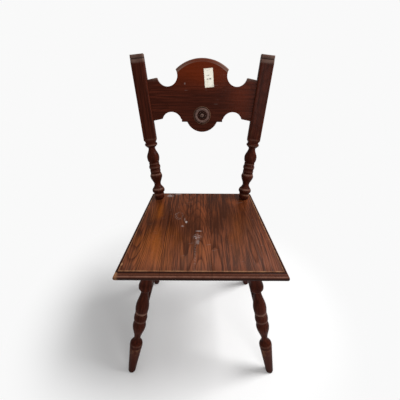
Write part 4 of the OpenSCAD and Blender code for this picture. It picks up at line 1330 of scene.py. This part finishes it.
class CHAIR_OT_crest(bpy.types.Operator):
    """Builds the scalloped crest rail with its rounded arch and the seat for the rosette"""

    bl_idname = "chair.crest"
    bl_label = "Crest Rail"

    def execute(self, context):
        crest, face = context.scene.chair_crest, crest_face()
        bm = bmesh.new()
        # The arch's front edge is rounded in steps, and the rest of the outline keeps still
        depths = []
        for k in range(9):
            angle = math.pi / 2 * k / 8
            inset = crest.arch_round * (1 - math.sin(angle))
            depths.append((inset, crest.arch_round * (1 - math.cos(angle))))
        depths.append((0.0, crest.thickness))
        rings = []
        for inset, depth in depths:
            points = self.outline(crest, crest.arch_radius - inset)
            ring = [bm.verts.new((x, face + depth, z)) for x, z in points]
            rim = [bm.edges.new(pair) for pair in zip(ring, ring[1:] + ring[:1])]
            rings.append((ring, rim))
        for (_, low), (_, high) in zip(rings, rings[1:]):
            bmesh.ops.bridge_loops(bm, edges=low + high)
        bmesh.ops.contextual_create(bm, geom=rings[-1][1])
        self.front_with_recess(bm, crest, face, rings[0][1])
        bmesh.ops.recalc_face_normals(bm, faces=bm.faces)
        self.soften(bm, crest)
        bmesh.ops.remove_doubles(bm, verts=bm.verts, dist=1e-6)
        self.add_inner_loops(bm)
        keep_own_place(bm)
        measure_rub(bm, 20.0, 45.0)
        lift = Matrix.Translation((0, 0, rail_level()))
        bmesh.ops.transform(bm, matrix=back_matrix() @ lift, verts=bm.verts)
        material = crest_finish("crest_stain", 6.0)
        finished_piece(bm, "crest_rail_carved", material, ["crest_rail"], 32.0)
        return {"FINISHED"}

    def front_with_recess(self, bm, crest, face, rim):
        """Closes the front, leaving a round seat for the rosette."""
        clearance, depth = 0.0002, 0.003
        centre = Matrix.Translation((0, face, -crest.lobe_drop))
        ring = bmesh.ops.create_circle(
            bm,
            cap_ends=False,
            radius=crest.rosette_radius + clearance,
            segments=72,
            matrix=centre @ Matrix.Rotation(math.pi / 2, 4, "X"),
        )["verts"]
        fresh = set(ring)
        hole = [edge for edge in bm.edges if fresh.issuperset(edge.verts)]
        bmesh.ops.triangle_fill(bm, edges=rim + hole, use_beauty=True, use_dissolve=False)
        grown = bmesh.ops.extrude_edge_only(bm, edges=hole)["geom"]
        floor = [item for item in grown if isinstance(item, bmesh.types.BMVert)]
        bmesh.ops.translate(bm, vec=(0, depth, 0), verts=floor)
        bmesh.ops.contextual_create(bm, geom=floor)

    def soften(self, bm, crest):
        """Takes the sharpness off the fretted edges, front and back."""
        bmesh.ops.dissolve_limit(
            bm, angle_limit=math.radians(0.5), verts=bm.verts, edges=bm.edges, delimit=set()
        )
        recess = crest.rosette_radius + 0.001
        sharp = []
        for edge in bm.edges:
            if not edge.is_manifold or edge.calc_face_angle() < math.radians(50):
                continue
            middle = (edge.verts[0].co + edge.verts[1].co) / 2
            flat = abs(edge.verts[0].co.y - edge.verts[1].co.y) < 1e-6
            near = math.hypot(middle.x, middle.z + crest.lobe_drop) < recess
            if flat and not near:
                sharp.append(edge)
        bevel_edges(bm, sharp, 0.0010, 3)

    def add_inner_loops(self, bm):
        """Adds a loop just inside each flat face, so that edge wear fades out there."""
        for way in (-1, 1):
            flats = [face for face in bm.faces if face.normal.y * way > 0.9999]
            bmesh.ops.inset_region(
                bm, faces=flats, thickness=0.0014, depth=0, use_boundary=True, use_even_offset=False
            )

    def outline(self, crest, arch_radius):
        """Outline of the rail, from the top of its arch to the right and round."""
        # From the rail's middle: height of the shoulder, where it starts to slope, where the
        # lower edge does, and the height and distance of the step beside the lobe
        slope = math.tan(math.radians(11.7))
        shoulder, start, end, step, step_half = 0.063, 0.140, 0.128, -0.066, 0.064
        bottom = shoulder + (start - end) * slope - crest.end_depth
        notch, lobe = crest.notch_radius, crest.lobe_radius
        upper, lower = (0.107, 0.070), (0.096, -0.0675)
        arch_centre = crest.arch_rise - crest.arch_radius

        def arc(centre, radius, first, last, count):
            return [
                (
                    centre[0] + radius * math.cos(first + (last - first) * k / count),
                    centre[1] + radius * math.sin(first + (last - first) * k / count),
                )
                for k in range(count + 1)
            ]

        def post_end(level, sloped_from):
            """Where a shoulder line, which starts to slope at a distance, meets the post."""
            base = post_inner_face(rail_level())
            lean = math.tan(bpy.context.scene.chair_posts.lean)
            across = (base + (level + sloped_from * slope) * lean) / (1 + slope * lean)
            return across, level - (across - sloped_from) * slope

        # The upper notch meets the shoulder outside and the arch inside
        outer = math.asin((shoulder - upper[1]) / notch)
        gap = math.hypot(upper[0], upper[1] - arch_centre)
        swing = math.acos((gap**2 + notch**2 - arch_radius**2) / (2 * gap * notch))
        toward = math.atan2(arch_centre - upper[1], -upper[0])
        inner = toward - swing
        horn = (upper[0] + notch * math.cos(inner), upper[1] + notch * math.sin(inner))
        horn_angle = math.atan2(horn[1] - arch_centre, horn[0])
        right = [post_end(shoulder, start), (start, shoulder)]
        right += arc(upper, notch, outer, inner % math.tau - math.tau, 30)
        right = right[:-1] + arc((0, arch_centre), arch_radius, horn_angle, math.pi / 2, 22)
        # The lower edge, from the middle of the lobe out to the post
        lobe_middle = (0, -crest.lobe_drop)
        meet = math.asin((step + crest.lobe_drop) / lobe)
        below = arc(lobe_middle, lobe, -math.pi / 2, meet, 18)
        far = math.asin((bottom - lower[1]) / notch)
        near = math.pi - far
        below += [(step_half, step), (step_half, bottom)]
        below += arc(lower, notch, near, far, 26)
        below += [(end, bottom), post_end(bottom, end)]
        half = right[::-1] + below[::-1]
        left = [(-x, z) for x, z in half[:0:-1] if x > 1e-9]
        return half + left


class CHAIR_OT_rosette(bpy.types.Operator):
    """Turns the rosette and carves its petals"""

    bl_idname = "chair.rosette"
    bl_label = "Rosette"

    def execute(self, context):
        crest = context.scene.chair_crest
        bm = bmesh.new()
        spin_profile(bm, self.profile(crest.rosette_radius), 144)
        dish = crest.rosette_radius * 0.46
        button = crest.rosette_radius * 0.20
        for vert in bm.verts:
            distance = math.hypot(vert.co.x, vert.co.y)
            if vert.co.z > -0.0025 and button < distance < dish:
                share = (distance - button) / (dish - button)
                lobe = abs(math.cos(math.atan2(vert.co.y, vert.co.x) * crest.petals / 2))
                vert.co.z += 0.0030 * math.sin(math.pi * share) ** 0.6 * lobe**1.2
        keep_own_place(bm)
        measure_rub(bm, 9.0, 30.0)
        place = on_crest(0, -crest.lobe_drop) @ Matrix.Rotation(math.pi / 2, 4, "X")
        bmesh.ops.transform(bm, matrix=place, verts=bm.verts)
        material = rosette_finish("rosette_stain")
        finished_piece(bm, "rosette_carved", material, ["rosette"], 60.0)
        return {"FINISHED"}

    def profile(self, radius):
        """Radii and heights from the back's rim to the button on the front."""
        points = [(radius, -0.003), (radius, 0.0006), (radius - 0.0006, 0.0012)]
        points += [(radius - 0.0016, 0.0012)]
        # A narrow groove, a flat, then the round ring
        groove = radius - 0.0034
        for k in range(9):
            angle = math.pi * k / 8
            points.append((groove + 0.0018 * math.cos(angle), 0.0012 - 0.0019 * math.sin(angle)))
        ring, half = radius * 0.70, 0.0046
        points.append((ring + half + 0.0006, 0.0008))
        for k in range(17):
            angle = math.pi * k / 16
            points.append((ring + half * math.cos(angle), -0.0006 + 0.0036 * math.sin(angle)))
        # The dish under the petals, and the button with its dimple
        dish, button = radius * 0.46, radius * 0.17
        for k in range(1, 15):
            share = k / 14
            across = dish + (button + 0.0008 - dish) * share
            points.append((across, -0.0014 + 0.0006 * math.cos(math.pi * share)))
        for k in range(9):
            angle = math.pi / 2 * k / 8
            points.append((button * math.cos(angle) + 0.0002, -0.0012 + 0.0034 * math.sin(angle)))
        points += [(0.0013, 0.0020), (0.0009, 0.0012)]
        return points


class CHAIR_OT_label(bpy.types.Operator):
    """Lays the paper label on the crest rail, with one corner a little lifted"""

    bl_idname = "chair.label"
    bl_label = "Paper Label"

    def execute(self, context):
        crest = context.scene.chair_crest
        bm = bmesh.new()
        bmesh.ops.create_grid(bm, x_segments=14, y_segments=26, size=0.5)
        for vert in bm.verts:
            x, z = vert.co.x * crest.label_width, vert.co.y * crest.label_height
            corner = max(0.0, x / crest.label_width - z / crest.label_height - 0.62)
            ripple = 0.00006 * math.sin(x * 480) * math.sin(z * 260)
            vert.co = (x, -0.00012 - 0.022 * corner**2 - abs(ripple), z)
        bmesh.ops.recalc_face_normals(bm, faces=bm.faces)
        if bm.faces[:][0].normal.y > 0:
            bmesh.ops.reverse_faces(bm, faces=bm.faces)
        bmesh.ops.solidify(bm, geom=bm.faces[:], thickness=0.00012)
        keep_own_place(bm)
        measure_rub(bm, 60.0, 90.0)
        right, up, turn = 0.020, 0.0635, math.radians(-5.0)
        place = on_crest(right, up) @ Matrix.Rotation(turn, 4, "Y")
        bmesh.ops.transform(bm, matrix=place, verts=bm.verts)
        material = paper_finish("label_paper_soiled")
        finished_piece(bm, "price_label_paper", material, ["price_label"], 60.0)
        return {"FINISHED"}


class CHAIR_OT_under_parts(bpy.types.Operator):
    """Finishes the battens, wedges, pegs and screws, which keep their CAD shape"""

    bl_idname = "chair.under_parts"
    bl_label = "Parts Under the Seat"

    def execute(self, context):
        dull = frame_finish("batten_stain", "x", 1.0, 0.75)
        pale = frame_finish("wedge_stain", "z", 4.0, 1.5)
        finishes = {
            "batten_front": dull,
            "batten_rear": dull,
            "leg_wedges": pale,
            "post_wedges": pale,
            "crest_pegs": pale,
            "batten_screws": steel_finish("screw_steel_aged"),
        }
        for node, material in finishes.items():
            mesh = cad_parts[node].data
            mesh.materials.clear()
            mesh.materials.append(material)
        return {"FINISHED"}


class CHAIR_OT_stage(bpy.types.Operator):
    """Sets up the floor, the lamps, the world and the camera"""

    bl_idname = "chair.stage"
    bl_label = "Stage"

    def execute(self, context):
        self.floor()
        self.lamps(context)
        self.world(context)
        self.camera(context)
        context.scene.view_settings.view_transform = "Standard"
        return {"FINISHED"}

    def floor(self):
        bm = bmesh.new()
        bmesh.ops.create_grid(bm, x_segments=4, y_segments=4, size=30)
        mesh = bpy.data.meshes.new("studio_floor")
        bm.to_mesh(mesh)
        bm.free()
        mesh.materials.append(floor_finish("studio_floor_pale"))
        floor = bpy.data.objects.new("studio_floor", mesh)
        bpy.context.scene.collection.objects.link(floor)

    def lamps(self, context):
        target = Vector((0, SEAT_MIDDLE_Y, 0.45))
        lamps = (
            ("key_lamp", (1.85, 0.10, 2.65), 1.5, 78.0),
            ("front_lamp", (0.9, -2.6, 1.5), 1.4, 21.0),
        )
        for name, place, size, power in lamps:
            lamp = bpy.data.lights.new(name, "AREA")
            lamp.shape = "DISK"
            lamp.size = size
            lamp.energy = power
            holder = bpy.data.objects.new(name, lamp)
            holder.location = place
            holder.rotation_euler = (target - Vector(place)).to_track_quat("-Z", "Y").to_euler()
            context.scene.collection.objects.link(holder)

    def world(self, context):
        """Even dim light, with a white background for the camera and for reflections."""
        world = bpy.data.worlds.new("studio_world")
        context.scene.world = world
        graph = Graph(world, "ShaderNodeOutputWorld")
        backdrop = context.scene.chair_finishes.backdrop
        light = graph.node("ShaderNodeBackground", {}, {0: (1.0, 1.0, 1.0), 1: 0.40})
        white = graph.node("ShaderNodeBackground", {}, {0: backdrop, 1: 1.0})
        kinds = ("Is Camera Ray", "Is Glossy Ray", "Is Transmission Ray")
        shown = reduce(Value.most, map(graph.ray, kinds))
        graph.put(graph.output.inputs[0], graph.mix_shaders(shown, light, white))

    def camera(self, context):
        data = bpy.data.cameras.new("studio_camera")
        data.sensor_width = 36.0
        data.lens = 27.0
        data.shift_x = -0.0040
        data.shift_y = 0.0065
        data.clip_end = 100.0
        camera = bpy.data.objects.new("studio_camera", data)
        away, height, looking_down, tilt = 0.73886, 0.99418, 0.5525369, math.radians(0.30)
        place = Matrix.Translation((0, SEAT_MIDDLE_Y - away, height))
        pitch = Matrix.Rotation(math.pi / 2 - looking_down, 4, "X")
        roll = Matrix.Rotation(tilt, 4, "Z")
        camera.matrix_world = place @ pitch @ roll
        context.scene.collection.objects.link(camera)
        context.scene.camera = camera


class CHAIR_PT_panel(bpy.types.Panel):
    """Lists the operators that build the chair"""

    bl_idname = "CHAIR_PT_panel"
    bl_label = "Plank-Seat Chair"
    bl_space_type = "VIEW_3D"
    bl_region_type = "UI"
    bl_category = "Chair"

    def draw(self, context):
        for operator in OPERATORS:
            self.layout.operator(operator.bl_idname)
        for group in SETTINGS:
            settings = getattr(context.scene, group)
            box = self.layout.box()
            for name in settings.__annotations__:
                box.prop(settings, name)


SETTINGS = {
    "chair_seat": SeatSizes,
    "chair_legs": LegSizes,
    "chair_posts": PostSizes,
    "chair_crest": CrestSizes,
    "chair_finishes": Finishes,
}
OPERATORS = (
    CHAIR_OT_stage,
    CHAIR_OT_seat,
    CHAIR_OT_legs,
    CHAIR_OT_stretchers,
    CHAIR_OT_posts,
    CHAIR_OT_crest,
    CHAIR_OT_rosette,
    CHAIR_OT_label,
    CHAIR_OT_under_parts,
)
CLASSES = (*SETTINGS.values(), *OPERATORS, CHAIR_PT_panel)


def register():
    for cls in CLASSES:
        bpy.utils.register_class(cls)
    for name, group in SETTINGS.items():
        setattr(bpy.types.Scene, name, PointerProperty(type=group))


def unregister():
    for name in SETTINGS:
        delattr(bpy.types.Scene, name)
    for cls in reversed(CLASSES):
        bpy.utils.unregister_class(cls)


def main():
    register()
    bpy.ops.chair.stage()
    bpy.ops.chair.seat()
    bpy.ops.chair.legs()
    bpy.ops.chair.stretchers()
    bpy.ops.chair.posts()
    bpy.ops.chair.crest()
    bpy.ops.chair.rosette()
    bpy.ops.chair.label()
    bpy.ops.chair.under_parts()


if __name__ == "__main__":
    main()
